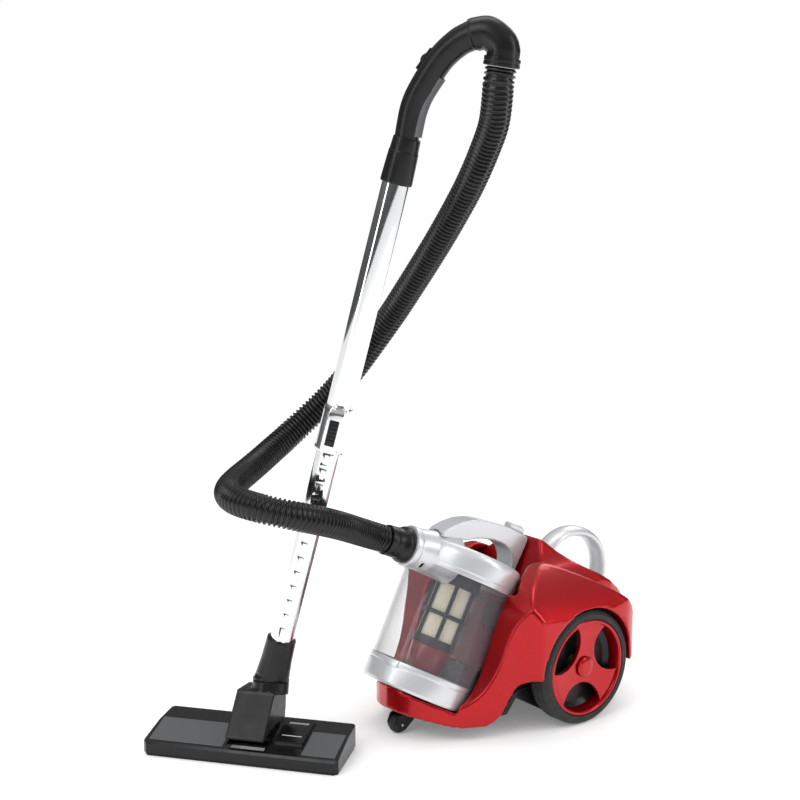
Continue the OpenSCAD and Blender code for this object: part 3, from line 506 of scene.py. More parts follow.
def make_finishes(c):
    red = tuple(c.red)
    f = Finish("metallic_red_lacquer", red, 0.28, Metallic=0.75, Coat_Weight=0.4,
               Coat_Roughness=0.035, IOR=1.5)
    flake = f.node("ShaderNodeTexVoronoi", {}, {"Vector": f.place, "Scale": 2200}, "Distance")
    cloud = f.noise(9, 2)
    f.feed("Base Color", f.mix(f.between(flake * 0.6 + cloud * 0.5, 0.25, 0.95, 0, 1),
                               shade(red, 0.82), shade(red, 1.22)))
    f.feed("Roughness", f.between(flake, 0, 0.8, 0.22, 0.34))
    f.bump(f.noise(60, 2), 0.02, 0.0004)
    FINISHES["red"] = f.material

    silver = tuple(c.silver)
    f = Finish("silver_metallic_paint", silver, 0.3, Metallic=0.55, Coat_Weight=0.35,
               Coat_Roughness=0.12)
    flake = f.node("ShaderNodeTexVoronoi", {}, {"Vector": f.place, "Scale": 2600}, "Distance")
    f.feed("Base Color", f.mix(f.between(flake * 0.7 + f.noise(14, 2) * 0.3, 0.15, 0.75, 0, 1),
                               shade(silver, 0.9), shade(silver, 1.14)))
    f.feed("Roughness", f.between(flake, 0, 0.8, 0.26, 0.4))
    f.bump(f.noise(900, 2), 0.05, 0.0001)
    FINISHES["silver"] = f.material

    black = tuple(c.black)
    for name, rough, grain, strength in (
        ("satin_black_moulding", 0.30, 1500, 0.10), ("gloss_black_moulding", 0.16, 700, 0.03),
        ("matt_black_moulding", 0.55, 1100, 0.25),
    ):
        f = Finish(name, black, rough, Specular_IOR_Level=0.32)
        f.feed("Base Color", f.mix(f.noise(30, 3), shade(black, 0.8), shade(black, 1.35)))
        f.feed("Roughness", f.between(f.noise(70, 4), 0.3, 0.7, rough - 0.05, rough + 0.07))
        f.bump(f.noise(grain, 2), strength, 0.0001)
        FINISHES[name.split("_")[0] + "_black"] = f.material

    f = Finish("hose_black", (0.006, 0.006, 0.0065), 0.24, Specular_IOR_Level=0.38)
    f.feed("Base Color", f.mix(f.noise(90, 3), (0.004, 0.004, 0.004), (0.010, 0.010, 0.0105)))
    f.feed("Roughness", f.between(f.noise(240, 3), 0.3, 0.7, 0.18, 0.32))
    f.bump(f.noise(1300, 2), 0.06, 0.0001)
    FINISHES["hose"] = f.material

    f = Finish("polished_chrome_tube", (0.80, 0.81, 0.83), 0.09, Metallic=1.0)
    f.feed("Roughness", f.between(f.noise(18, 5, 0.6, f.turned(0, (1, 1, 9))),
                                  0.3, 0.7, 0.06, 0.15))
    f.feed("Base Color", f.mix(f.noise(6, 2), (0.74, 0.75, 0.77), (0.86, 0.87, 0.88)))
    f.bump(f.noise(400, 2), 0.015, 0.0001)
    FINISHES["chrome"] = f.material

    make_mottled()

    f = Finish("open_foam", (0.05, 0.05, 0.055), 0.9)
    cells = f.node("ShaderNodeTexVoronoi", {}, {"Vector": f.place, "Scale": 900}, "Distance")
    f.feed("Base Color", f.mix(cells, (0.01, 0.01, 0.012), (0.12, 0.12, 0.13)))
    f.bump(cells, 0.8, 0.0006)
    FINISHES["foam"] = f.material

    paper = tuple(c.paper)
    f = Finish("pleated_filter_paper", paper, 0.8)
    fibre = f.noise(900, 3)
    f.feed("Base Color", f.mix(fibre, shade(paper, 0.93), shade(paper, 1.05)))
    f.bump(fibre, 0.3, 0.0003)
    FINISHES["paper"] = f.material

    f = Finish("circuit_board", (0.02, 0.12, 0.045), 0.45)
    lanes = f.node("ShaderNodeTexBrick", {}, {
        "Vector": f.place, "Scale": 90, "Color1": (0.02, 0.12, 0.045, 1),
        "Color2": (0.03, 0.17, 0.06, 1), "Mortar": (0.25, 0.19, 0.06, 1)}, "Color")
    f.feed("Base Color", lanes)
    FINISHES["board"] = f.material

    smoke = tuple(c.smoke)
    f = Finish("clear_cup_plastic", smoke, 0.03, Transmission_Weight=0.0, Alpha=0.2,
               Coat_Weight=1.0, Coat_Roughness=0.02, Specular_IOR_Level=0.8)
    f.feed("Base Color", f.mix(f.noise(7, 2), shade(smoke, 0.92), shade(smoke, 1.06)))
    rim = f.node("ShaderNodeLayerWeight", {}, {"Blend": 0.45}, "Facing")
    f.feed("Alpha", f.between(rim.power(2.2), 0, 1, 0.10, 0.58))
    f.feed("Roughness", f.between(f.noise(26, 3), 0.3, 0.7, 0.02, 0.07))
    f.bump(f.noise(12, 2), 0.02, 0.0006)
    FINISHES["clear"] = f.material

    grey = tuple(c.grey)
    f = Finish("satin_panel_grey", grey, 0.34, Metallic=0.35, Coat_Weight=0.25,
               Coat_Roughness=0.25)
    flake = f.node("ShaderNodeTexVoronoi", {}, {"Vector": f.place, "Scale": 2400}, "Distance")
    f.feed("Base Color", f.mix(flake, shade(grey, 0.8), shade(grey, 1.35)))
    f.feed("Roughness", f.between(f.noise(90, 4), 0.3, 0.7, 0.3, 0.42))
    f.bump(f.noise(1600, 2), 0.08, 0.0001)
    FINISHES["panel"] = f.material

    f = Finish("bristle_fibre", (0.05, 0.05, 0.05), 0.85)
    strands = f.noise(1400, 3, 0.6, f.turned(HEAD_HEADING, (1, 1, 12)))
    f.feed("Base Color", f.mix(strands, (0.02, 0.02, 0.02), (0.11, 0.11, 0.11)))
    f.bump(strands, 0.8, 0.0008)
    FINISHES["bristle"] = f.material


CARRIED = {
    "satin_black": ("exhaust_grille", "cord_outlet"),
    "steel": ("stub_axles", "caster_pin", "reel_spindle", "body_screws", "release_spring",
              "head_pins"),
    "motor": ("motor_can", "motor_fan"),
    "rubber": ("motor_mount", "cup_seal"),
    "foam": ("motor_filter",),
    "paper": ("exhaust_filter",),
    "reel": ("cord_reel",),
    "board": ("control_board",),
    "bristle": ("brush_strip",),
}


def paint_carried():
    for finish, nodes in CARRIED.items():
        for node in nodes:
            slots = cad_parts[node].data.materials
            slots.clear()
            slots.append(FINISHES[finish])


# ------------------------------------------------------------------ operators


class VACUUM_OT_stage(bpy.types.Operator):
    """Sets the pale floor, the soft lights and the camera"""

    bl_idname = "vacuum.stage"
    bl_label = "Stage"

    def execute(self, context):
        scene = context.scene
        cam = bpy.data.cameras.new("camera")
        cam.lens, cam.sensor_width = 67.5, 36.0
        eye = bpy.data.objects.new("camera", cam)
        scene.collection.objects.link(eye)
        away = Vector((-0.62, -0.785, 0)).normalized()
        look = away * math.cos(math.radians(10)) - Vector((0, 0, math.sin(math.radians(10))))
        eye.matrix_world = (Matrix.Translation((1.2753, 1.5628, 0.825))
                            @ look.to_track_quat("-Z", "Y").to_matrix().to_4x4())
        scene.camera = eye

        self.floor_finish()
        own = bmesh.new()
        bmesh.ops.create_grid(own, x_segments=1, y_segments=1, size=14)
        floor = finish_piece(own, "floor", "floor", None)

        scene.world = self.room()
        scene.view_settings.view_transform = "Standard"
        side = Vector((-0.785, 0.62, 0)).normalized()
        aim = Vector((-0.05, 0.0, 0.35))
        for name, place, size, power in (
            ("key_light", aim - away * 1.6 - side * 1.3 + Vector((0, 0, 1.9)), (1.3, 1.3), 17),
            ("side_light", aim - away * 0.6 + side * 1.9 + Vector((0, 0, 0.9)), (0.45, 1.9), 11),
            ("strip_light", aim - away * 1.2 - side * 2.0 + Vector((0, 0, 0.5)), (0.35, 2.0), 9),
            ("top_light", aim + away * 0.5 + Vector((0, 0, 2.3)), (1.6, 1.0), 11),
            ("back_light", aim + away * 2.0 + side * 0.9 + Vector((0, 0, 1.3)), (1.0, 1.2), 9),
        ):
            data = bpy.data.lights.new(name, "AREA")
            data.shape, data.energy = "RECTANGLE", power
            data.size, data.size_y = size
            lamp = bpy.data.objects.new(name, data)
            scene.collection.objects.link(lamp)
            lamp.matrix_world = (Matrix.Translation(place)
                                 @ (aim - place).to_track_quat("-Z", "Y").to_matrix().to_4x4())
        return {"FINISHED"}

    @staticmethod
    def room():
        """White room whose reflections fade to grey towards the floor."""
        world = bpy.data.worlds.new("soft_room")
        world.use_nodes = True
        tree = world.node_tree
        plain = tree.nodes["Background"]
        plain.inputs["Color"].default_value = (1, 1, 1, 1)
        plain.inputs["Strength"].default_value = 1.0
        mirrored = tree.nodes.new("ShaderNodeBackground")
        mirrored.inputs["Strength"].default_value = 0.75
        ramp = tree.nodes.new("ShaderNodeValToRGB")
        stops = ((0.42, 0.30), (0.5, 0.10), (0.62, 0.16), (0.9, 0.75))
        while len(ramp.color_ramp.elements) < len(stops):
            ramp.color_ramp.elements.new(0.5)
        for element, (position, level) in zip(ramp.color_ramp.elements, stops):
            element.position, element.color = position, (level, level, level, 1)
        where = tree.nodes.new("ShaderNodeTexCoord")
        split = tree.nodes.new("ShaderNodeSeparateXYZ")
        spread = tree.nodes.new("ShaderNodeMapRange")
        spread.inputs["From Min"].default_value = -1
        tree.links.new(where.outputs["Generated"], split.inputs[0])
        tree.links.new(split.outputs["Z"], spread.inputs["Value"])
        tree.links.new(spread.outputs[0], ramp.inputs[0])
        tree.links.new(ramp.outputs[0], mirrored.inputs["Color"])
        kind = tree.nodes.new("ShaderNodeLightPath")
        either = tree.nodes.new("ShaderNodeMixShader")
        tree.links.new(kind.outputs["Is Glossy Ray"], either.inputs[0])
        tree.links.new(plain.outputs[0], either.inputs[1])
        tree.links.new(mirrored.outputs[0], either.inputs[2])
        tree.links.new(either.outputs[0], tree.nodes["World Output"].inputs["Surface"])
        return world

    @staticmethod
    def floor_finish():
        f = Finish("pale_floor", (0.86, 0.86, 0.86), 0.5, Specular_IOR_Level=0.0,
                   Emission_Color=(1, 1, 1, 1), Emission_Strength=0.14)
        f.feed("Base Color", f.mix(f.noise(1.5, 2), (0.85, 0.85, 0.85), (0.87, 0.87, 0.87)))
        FINISHES["floor"] = f.material


class VACUUM_OT_hose(bpy.types.Operator):
    """Winds the corrugated hose along its route"""

    bl_idname = "vacuum.hose"
    bl_label = "Hose"

    def execute(self, context):
        s = context.scene.vacuum_sizes
        route = through([HOME + Vector(p) for p in HOSE_ROUTE], 3)
        fine = through(route, 8)
        far = np.concatenate([[0], np.cumsum([(b - a).length for a, b in zip(fine, fine[1:])])])
        length = float(far[-1])
        ribs = round(length / s.hose_pitch)
        per_rib = 6
        marks = np.linspace(0, length, ribs * per_rib + 1)
        points = np.array([tuple(p) for p in fine])
        line = [Vector([float(np.interp(m, far, points[:, k])) for k in range(3)])
                for m in marks]
        outer = 0.01945
        shape = (0.0, 0.25, 0.92, 1.0, 0.92, 0.25)

        def radius(i):
            return outer - s.hose_depth * (1 - shape[i % per_rib])

        own = tube(line, radius, 28)
        hose = finish_piece(own, "corrugated_hose", "hose", None, smooth=70)
        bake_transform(hose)
        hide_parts("hose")
        return {"FINISHED"}


class VACUUM_OT_body(bpy.types.Operator):
    """Moulds the red shells, the black pan and the rear trim"""

    bl_idname = "vacuum.body"
    bl_label = "Body"

    def execute(self, context):
        moulded("fender_shell", "red", "canister", 0.0021, 60)
        moulded("body_shell", "red", "canister", 0.0026, 16)
        moulded("carry_handle", "silver", "canister", 0.0016, 10)
        bevelled("rear_trim", "silver", "canister", 0.0012)
        bevelled("base_pan", "satin_black", "canister", 0.0008)
        return {"FINISHED"}


class VACUUM_OT_buttons(bpy.types.Operator):
    """Turns the two push buttons at the back"""

    bl_idname = "vacuum.buttons"
    bl_label = "Push buttons"

    def execute(self, context):
        rear = PLACE @ shift(-0.126, 0, 0.154) @ turn("Y", -37)
        for node, side, body in (("power_button", 1, "power_switch"),
                                 ("rewind_button", -1, "rewind_switch")):
            place = rear @ shift(0.026, side * 0.048, 0)
            profile = rounded([(0, -0.008), (0.0105, -0.008), (0.0105, -0.006), (0.009, -0.006),
                               (0.009, 0.0094), (0.0068, 0.0109), (0.0055, 0.0108),
                               (0.005, 0.0102), (0, 0.0102)], 0.0005, 3)
            own = lathe(profile, place, 48)
            finish_piece(own, node + "_skin", "chrome", body, replaces=(node,))
        return {"FINISHED"}


class VACUUM_OT_wheels(bpy.types.Operator):
    """Turns the tyres and cuts the three-armed wheel faces"""

    bl_idname = "vacuum.wheels"
    bl_label = "Rear wheels"

    def execute(self, context):
        grooves = context.scene.vacuum_sizes.tread
        for side, word in ((1, "left"), (-1, "right")):
            body = "wheel_" + word
            place = PLACE @ shift(0, side * 0.109, TYRE_RADIUS)
            place = place @ (ALONG_Y if side > 0 else turn("X", 90))
            self.tyre(place, word, body, grooves)
            self.rim(place, word, body)
        return {"FINISHED"}

    @staticmethod
    def tyre(place, word, body, grooves):
        r = TYRE_RADIUS
        outline = [(0.0702, 0.0), (0.0785, 0.0), (0.0822, 0.0016), (r, 0.005)]
        for k in range(grooves):
            mid = 0.0072 + (k + 0.5) * 0.0178 / max(1, grooves)
            outline += [(r, mid - 0.0012), (r - 0.0012, mid - 0.0008),
                        (r - 0.0012, mid + 0.0008), (r, mid + 0.0012)]
        outline += [(r, 0.0268), (0.0814, 0.0306), (0.0772, 0.0336), (0.0755, 0.034),
                    (0.0738, 0.0334), (0.0722, 0.0338), (0.0702, 0.0338), (0.0702, 0.0)]
        own = lathe(rounded(outline, 0.0006, 2), place, 120)
        finish_piece(own, f"tyre_{word}_skin", "tyre", body,
                     replaces=(f"tyre_{word}",))

    @staticmethod
    def rim(place, word, body):
        ring = lathe(rounded([(0.0640, 0.0320), (0.0655, 0.0338), (0.0682, 0.0338),
                              (0.0697, 0.0325), (0.0697, 0.0008), (0.0640, 0.0008),
                              (0.0640, 0.0320)], 0.0008, 3), place, 120)
        face = lathe([(0.0, 0.0262), (0.014, 0.0262), (0.024, 0.0267), (0.040, 0.0280),
                      (0.054, 0.0296), (0.0648, 0.0308), (0.0648, 0.0252), (0.050, 0.0234),
                      (0.030, 0.0216), (0.0, 0.0208)], Matrix.Identity(4), 120)
        star = finish_piece(face, f"wheel_face_{word}", "red", None)
        cutters = []
        for k in range(3):
            own = bmesh.new()
            bmesh.ops.create_cone(own, cap_ends=True, segments=72, radius1=0.0366,
                                  radius2=0.0384, depth=0.03)
            bmesh.ops.transform(own, matrix=turn("Z", 120 * k + 82) @ shift(0.060, 0, 0.027),
                                verts=own.verts)
            cutter = finish_piece(own, f"cutter_{k}", "red", None)
            cutters.append(cutter)
            cut = star.modifiers.new(f"Cut {k}", "BOOLEAN")
            cut.object, cut.operation, cut.solver = cutter, "DIFFERENCE", "EXACT"
        modified(star)
        for cutter in cutters:
            bpy.data.objects.remove(cutter)
        work = bmesh.new()
        work.from_mesh(star.data)
        bpy.data.objects.remove(star)
        bmesh.ops.remove_doubles(work, verts=work.verts, dist=2e-5)
        bmesh.ops.dissolve_degenerate(work, edges=work.edges, dist=2e-5)
        sharp = [e for e in work.edges if e.calc_face_angle(0) > math.radians(50)]
        bmesh.ops.bevel(work, geom=sharp, offset=0.0009, offset_type="OFFSET", segments=2,
                        profile=0.5, affect="EDGES", material=-1, clamp_overlap=True)
        bmesh.ops.transform(work, matrix=place, verts=work.verts)
        join(work, ring)
        finish_piece(work, f"rim_{word}_skin", "red", body,
                     replaces=(f"rim_{word}",))
        dish = lathe(rounded([(0.006, 0.004), (0.006, 0.0205), (0.012, 0.0205), (0.020, 0.010),
                              (0.055, 0.009), (0.0638, 0.014), (0.0638, 0.001), (0.012, 0.001),
                              (0.006, 0.004)], 0.002, 3), place, 96)
        finish_piece(dish, f"wheel_dish_{word}", "satin_black", body)
        cap = lathe(rounded([(0.0, 0.0318), (0.009, 0.0315), (0.0142, 0.0300),
                             (0.0149, 0.0288), (0.0149, 0.0276), (0.0, 0.0276)], 0.0005, 3),
                    place, 72)
        bmesh.ops.holes_fill(cap, edges=[e for e in cap.edges if e.is_boundary], sides=0)
        finish_piece(cap, f"hub_cap_{word}_skin", "red", body,
                     replaces=(f"hub_cap_{word}",))


class VACUUM_OT_caster(bpy.types.Operator):
    """Shapes the small front caster"""

    bl_idname = "vacuum.caster"
    bl_label = "Caster"

    def execute(self, context):
        bevelled("caster_fork", "satin_black", "caster", 0.0006)
        place = PLACE @ shift(0.230, 0, 0.013) @ ALONG_Y
        own = lathe(rounded([(0.00206, -0.0065), (0.0105, -0.0065), (0.0128, -0.0045),
                             (0.013, -0.0015), (0.013, 0.0015), (0.0128, 0.0045),
                             (0.0105, 0.0065), (0.00206, 0.0065), (0.00206, -0.0065)],
                            0.0008, 3), place, 64)
        finish_piece(own, "caster_wheel_skin", "tyre", "caster_roller",
                     replaces=("caster_wheel",))
        return {"FINISHED"}


class VACUUM_OT_cup(bpy.types.Operator):
    """Turns the clear cup, its bottom, its lid and the hose inlet"""

    bl_idname = "vacuum.cup"
    bl_label = "Dust cup"

    def execute(self, context):
        s = context.scene.vacuum_sizes
        wall = s.cup_wall
        low, top, high = 0.0755, 0.0795, CUP_HEIGHT
        own = lathe(rounded([(low, 0.0), (low + 0.0006, 0.03), (top - 0.001, 0.12), (top, high),
                             (top - wall, high), (top - wall - 0.001, 0.12),
                             (low - wall + 0.0006, 0.03), (low - wall, 0.0), (low, 0.0)],
                            0.0008, 2), CUP, 128)
        finish_piece(own, "clear_cup", "clear", "cup",
                     replaces=("cup_wall_clear",))
        self.bottom()
        self.lid()
        return {"FINISHED"}

    @staticmethod
    def bottom():
        own = lathe(rounded([(0.0, -0.030), (0.060, -0.030), (0.0725, -0.027), (0.0727, -0.001),
                             (0.0755, -0.0002), (0.0757, 0.0028), (0.0769, 0.0029),
                             (0.0769, -0.0035), (0.0762, -0.0046), (0.0769, -0.0058),
                             (0.0766, -0.0290), (0.0745, -0.0325), (0.0, -0.0330)],
                            0.0012, 3), Matrix.Identity(4), 128)
        level = turn("Y", 29)
        at = level @ Vector((0, 0, -0.041))
        up = (level.to_3x3() @ Vector((0, 0, 1))).normalized()
        geom = own.verts[:] + own.edges[:] + own.faces[:]
        bmesh.ops.bisect_plane(own, geom=geom, plane_co=at, plane_no=up, clear_inner=True)
        bmesh.ops.holes_fill(own, edges=[e for e in own.edges if e.is_boundary], sides=0)
        bmesh.ops.recalc_face_normals(own, faces=own.faces)
        bmesh.ops.transform(own, matrix=CUP, verts=own.verts)
        block((0.0022, 0.0206, 0.0098), CUP @ turn("Z", 14) @ shift(0.0772, 0, -0.0024),
              0.0006, 2, work=own)
        finish_piece(own, "cup_bottom_skin", "silver", "cup",
                     replaces=("cup_bottom", "door_latch"))

    @staticmethod
    def lid():
        h = CUP_HEIGHT
        own = lathe(rounded([(0.0755, h + 0.001), (0.0796, h + 0.0008), (0.0797, h - 0.0058),
                             (0.0818, h - 0.0058), (0.0819, h + 0.0002), (0.0812, h + 0.0012),
                             (0.0819, h + 0.0024), (0.0818, h + 0.022), (0.0790, h + 0.0305),
                             (0.0700, h + 0.0332), (0.0640, h + 0.0336), (0.0560, h + 0.0328),
                             (0.0, h + 0.0336)], 0.003, 4), CUP, 128)
        finish_piece(own, "cup_lid_skin", "silver", "cup", replaces=("cup_lid",))
        port = lathe(rounded([(0.0209, -0.010), (0.0209, 0.066), (0.0262, 0.0662),
                              (0.0294, 0.0655), (0.0296, 0.0575), (0.0285, 0.0560),
                              (0.0290, 0.050), (0.0312, 0.030), (0.0345, 0.004),
                              (0.0365, -0.010), (0.0209, -0.010)], 0.0012, 3), PORT, 96)
        notch = PORT @ turn("Z", 52)
        block((0.0016, 0.0125, 0.0070), notch @ shift(0.0289, 0, 0.0475), 0.0006, 2, work=port)
        finish_piece(port, "inlet_port_skin", "silver", "cup",
                     replaces=("inlet_port",))
        # Black plate framed by the silver notch: painted shade standing in for the dark inside
        # of the slot in the inlet port.
        slot_piece = block((0.0012, 0.0088, 0.0040), notch @ shift(0.0297, 0, 0.0475), 0.0004, 2)
        finish_piece(slot_piece, "painted_slot_shade", "satin_black", "cup")


class VACUUM_OT_cup_handle(bpy.types.Operator):
    """Moulds the carrying handle over the cup and its release button"""

    bl_idname = "vacuum.cup_handle"
    bl_label = "Cup handle"

    def execute(self, context):
        moulded("cup_handle", "silver", "cup", 0.0016, 16)
        place = PLACE @ shift(0.014, 0, 0.258) @ turn("Y", -29.5)
        own = block((0.0298, 0.0158, 0.0085), place @ shift(0, 0, 0.00225), 0.0018, 4)
        lathe(rounded([(0.0, 0.0062), (0.0052, 0.0062), (0.0050, 0.0080), (0.0038, 0.0085),
                       (0.0, 0.0085)], 0.0005, 3), place @ shift(-0.009, 0, 0), 40, work=own)
        finish_piece(own, "release_button_skin", "silver", "cup_release",
                     replaces=("release_button",))
        return {"FINISHED"}


class VACUUM_OT_filter(bpy.types.Operator):
    """Builds the caged, pleated filter and the cone inside the cup"""

    bl_idname = "vacuum.filter"
    bl_label = "Filter"

    def execute(self, context):
        folds = context.scene.vacuum_sizes.pleats
        bevelled("filter_cage", "cage", "cup", 0.0005)
        own = bmesh.new()
        crest, valley, foot, height = 0.0274, 0.0243, 0.0412, 0.0978
        ring = []
        for k in range(2 * folds):
            angle, r = math.pi * k / folds, valley if k % 2 else crest
            ring.append(own.verts.new((math.cos(angle) * r, math.sin(angle) * r, foot)))
        edges = [own.edges.new((a, b)) for a, b in zip(ring, ring[1:] + ring[:1])]
        made = bmesh.ops.extrude_edge_only(own, edges=edges)
        top = [v for v in made["geom"] if isinstance(v, bmesh.types.BMVert)]
        bmesh.ops.translate(own, vec=(0, 0, height), verts=top)
        bmesh.ops.recalc_face_normals(own, faces=own.faces)
        bmesh.ops.solidify(own, geom=own.faces[:], thickness=0.0006)
        bmesh.ops.recalc_face_normals(own, faces=own.faces)
        bmesh.ops.transform(own, matrix=CUP, verts=own.verts)
        finish_piece(own, "pleated_filter", "paper", "cup", smooth=15,
                     replaces=("filter_pleats",))
        cone = lathe(rounded([(0.0232, 0.0032), (0.0262, 0.0032), (0.0288, 0.0375),
                              (0.0258, 0.0375), (0.0232, 0.0032)], 0.0008, 2), CUP, 72)
        finish_piece(cone, "cone_skin", "cone", "cup", replaces=("cyclone_cone",))
        return {"FINISHED"}


class VACUUM_OT_hose_fittings(bpy.types.Operator):
    """Turns the hose plug and the swivel ring at the grip"""

    bl_idname = "vacuum.hose_fittings"
    bl_label = "Hose fittings"

    def execute(self, context):
        plug = lathe(rounded([(0.0152, 0.0485), (0.0208, 0.0485), (0.0208, 0.0665),
                              (0.0252, 0.0665), (0.0255, 0.0690), (0.0246, 0.0705),
                              (0.0255, 0.0720), (0.0254, 0.0752), (0.0228, 0.0800),
                              (0.0214, 0.0815), (0.0214, 0.0900), (0.0207, 0.0910),
                              (0.0214, 0.0920), (0.0212, 0.1018), (0.0152, 0.1018),
                              (0.0152, 0.0485)], 0.0007, 3), PORT, 80)
        finish_piece(plug, "hose_plug_skin", "satin_black", "hose_plug",
                     replaces=("hose_connector",))
        ring = lathe(rounded([(0.0122, -0.0118), (0.0215, -0.0118), (0.0224, -0.0108),
                              (0.0224, -0.0072), (0.0216, -0.0064), (0.0224, -0.0056),
                              (0.0223, -0.0006), (0.0122, -0.0004), (0.0122, -0.0118)],
                             0.0005, 3), RING, 80)
        finish_piece(ring, "hose_ring_skin", "satin_black", "hose_swivel",
                     replaces=("hose_end_ring",))
        return {"FINISHED"}


class VACUUM_OT_grip(bpy.types.Operator):
    """Shapes the bent handgrip, its inlay, air slider, elbow and collar"""

    bl_idname = "vacuum.grip"
    bl_label = "Grip"

    def execute(self, context):
        line = through([(0, 0, 0.036), (-0.002, 0, 0.062), (-0.002, 0, 0.084), (0.003, 0, 0.107),
                        (0.017, 0, 0.146), (0.033, 0, 0.170), (0.0458, 0, 0.1813),
                        (0.050, 0, 0.184)], 8)
        m = len(line) - 1
        own = tube(line, lambda i: 0.0151 + 0.0034 * i / m, 40, (1, 0, 0), GRIP)
        finish_piece(own, "grip_skin", "satin_black", "wand", replaces=("grip",))
        slide = GRIP @ shift(-0.002, 0, 0.142) @ turn("Y", 23)
        seat = block((0.0030, 0.0134, 0.0310), slide @ shift(-0.0006, 0, 0), 0.0012, 3)
        finish_piece(seat, "slider_seat", "matt_black", "wand")
        knob = bmesh.new()
        bmesh.ops.create_uvsphere(knob, u_segments=32, v_segments=20, radius=1)
        bmesh.ops.scale(knob, vec=(0.0062, 0.0062, 0.0078), verts=knob.verts)
        bmesh.ops.transform(knob, matrix=slide @ shift(0.0004, 0, 0), verts=knob.verts)
        finish_piece(knob, "air_slider_skin", "gloss_black", "air_vent",
                     replaces=("air_slider",))
        bevelled("grip_insert", "insert", "wand", 0.0003, 45)
        elbow = through([(0.0503, 0, 0.1842), (0.0545, 0, 0.1865),
                         (0.068, 0, 0.1908), (0.0845, 0, 0.1845),
                         (0.0908, 0, 0.1775), (0.0922, 0, 0.1722),
                         (0.0927, 0, 0.1668)], 8)
        e = len(elbow) - 1

        def girth(i):
            if i in (0, e):
                return 0.0190
            return 0.0202 if i > 3 or i == 1 else 0.0199

        own = tube(elbow, girth, 40, (1, 0, 0), GRIP)
        finish_piece(own, "elbow_skin", "satin_black", "wand",
                     replaces=("grip_elbow",))
        collar = lathe(rounded([(0.0176, -0.014), (0.0203, -0.014), (0.0205, -0.011),
                                (0.0197, 0.010), (0.0190, 0.026), (0.0184, 0.027),
                                (0.0182, 0.030), (0.0174, 0.0435),
                                (0.0165, 0.044), (0.0158, 0.040)], 0.0008, 3),
                       GRIP, 72)
        finish_piece(collar, "collar_skin", "satin_black", "wand",
                     replaces=("grip_collar",))
        return {"FINISHED"}


class VACUUM_OT_tubes(bpy.types.Operator):
    """Turns the chrome tubes and shapes the height lock"""

    bl_idname = "vacuum.tubes"
    bl_label = "Telescopic tube"

    def execute(self, context):
        upper = lathe(rounded([(0.0161, 0.327), (0.0174, 0.327), (0.0174, 0.667),
                               (0.0161, 0.667), (0.0161, 0.327)], 0.0002, 2), WAND, 96)
        finish_piece(upper, "upper_tube_skin", "chrome", "wand",
                     replaces=("upper_tube",))
        bevelled("lower_tube", "chrome", "lower_wand", 0.0003, 35)
        own = lathe(rounded([(0.0162, 0.2752), (0.0202, 0.2752), (0.0204, 0.2790),
                             (0.0197, 0.2806), (0.0196, 0.330), (0.0190, 0.334),
                             (0.0177, 0.3378), (0.0162, 0.3378), (0.0162, 0.2752)],
                            0.0008, 3), WAND, 96)
        turned = WAND @ turn("Z", -75)
        outline = [(0.0276, 0.2768), (0.0286, 0.2786), (0.0288, 0.322), (0.0276, 0.3325),
                   (0.0240, 0.3378), (0.0160, 0.3378), (0.0160, 0.2768)]
        on_side = turned @ turn("X", 90)
        slab(outline, -0.0105, 0.0105, on_side, 0.0018, 3, work=own)
        finish_piece(own, "lock_housing_skin", "chrome", "wand",
                     replaces=("tube_sleeve",))
        slider = block((0.0046, 0.0128, 0.0350), turned @ shift(0.0285, 0, 0.306), 0.0014, 3)
        for z in (0.2965, 0.3015, 0.3065, 0.3115, 0.3165):
            block((0.0016, 0.0112, 0.0018), turned @ shift(0.0312, 0, z), 0.0005, 2, work=slider)
        finish_piece(slider, "lock_slider_skin", "satin_black", "tube_lock",
                     replaces=("tube_slider",))
        return {"FINISHED"}


class VACUUM_OT_neck(bpy.types.Operator):
    """Rounds the swivel neck over the floor head"""

    bl_idname = "vacuum.neck"
    bl_label = "Neck"

    def execute(self, context):
        moulded("neck_elbow", "satin_black", "lower_wand", 0.0012, 5)
        moulded("swivel_block", "satin_black", "neck", 0.0012, 5)
        return {"FINISHED"}


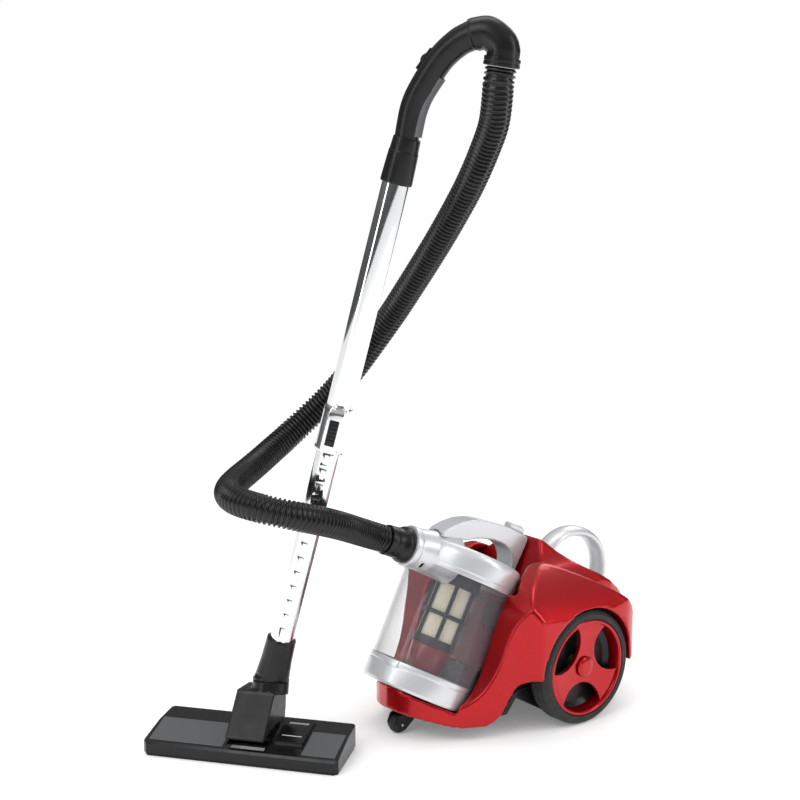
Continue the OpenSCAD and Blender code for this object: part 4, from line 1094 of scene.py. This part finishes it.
class VACUUM_OT_floor_head(bpy.types.Operator):
    """Builds the floor head, its inlays, sole and pedal"""

    bl_idname = "vacuum.floor_head"
    bl_label = "Floor head"

    def execute(self, context):
        bevelled("head_cover", "gloss_black", "floor_head", 0.0014)
        bevelled("head_panel", "panel", "floor_head", 0.0006)
        bevelled("sole_plate", "matt_black", "floor_head", 0.0006)
        bevelled("head_pedal", "gloss_black", "pedal", 0.0012)
        self.marks()
        return {"FINISHED"}

    @staticmethod
    def marks():
        """Raised grips and a simple brush sign on the pedal."""
        front = HEAD @ shift(0.0150, 0.062, 0.0333) @ turn("Y", 12.2)
        back = HEAD @ shift(-0.0155, 0.062, 0.0378) @ turn("Y", -4.5)
        own = block((0.0012, 0.028, 0.0007), front @ shift(0.0015, 0, 0.0001), 0.0002, 1)
        block((0.0012, 0.028, 0.0007), back @ shift(-0.0015, 0, 0.0001), 0.0002, 1, work=own)
        for k in range(8):
            block((0.0046, 0.0010, 0.0007), back @ shift(0.0018, -0.0119 + 0.0034 * k, 0.0001),
                  0.0002, 1, work=own)
        finish_piece(own, "pedal_marks", "mark", "pedal")


STEPS = (
    VACUUM_OT_stage, VACUUM_OT_hose, VACUUM_OT_body, VACUUM_OT_buttons, VACUUM_OT_wheels,
    VACUUM_OT_caster, VACUUM_OT_cup, VACUUM_OT_cup_handle, VACUUM_OT_filter,
    VACUUM_OT_hose_fittings, VACUUM_OT_grip, VACUUM_OT_tubes, VACUUM_OT_neck,
    VACUUM_OT_floor_head,
)


class VACUUM_PT_panel(bpy.types.Panel):
    """Sidebar panel that lists sizes, colours and pieces"""

    bl_idname = "VACUUM_PT_panel"
    bl_label = "Canister Vacuum Cleaner"
    bl_space_type = "VIEW_3D"
    bl_region_type = "UI"
    bl_category = "Vacuum"

    def draw(self, context):
        for group in (context.scene.vacuum_sizes, context.scene.vacuum_colours):
            box = self.layout.box()
            for name in group.__annotations__:
                box.prop(group, name)
        for step in STEPS:
            self.layout.operator(step.bl_idname)


CLASSES = (VACUUM_PG_sizes, VACUUM_PG_colours, *STEPS, VACUUM_PT_panel)


def register():
    for cls in CLASSES:
        bpy.utils.register_class(cls)
    bpy.types.Scene.vacuum_sizes = PointerProperty(type=VACUUM_PG_sizes)
    bpy.types.Scene.vacuum_colours = PointerProperty(type=VACUUM_PG_colours)


def unregister():
    del bpy.types.Scene.vacuum_colours
    del bpy.types.Scene.vacuum_sizes
    for cls in reversed(CLASSES):
        bpy.utils.unregister_class(cls)


def main():
    register()
    make_finishes(bpy.context.scene.vacuum_colours)
    paint_carried()
    for step in STEPS:
        group, name = step.bl_idname.split(".")
        getattr(getattr(bpy.ops, group), name)()


if __name__ == "__main__":
    main()
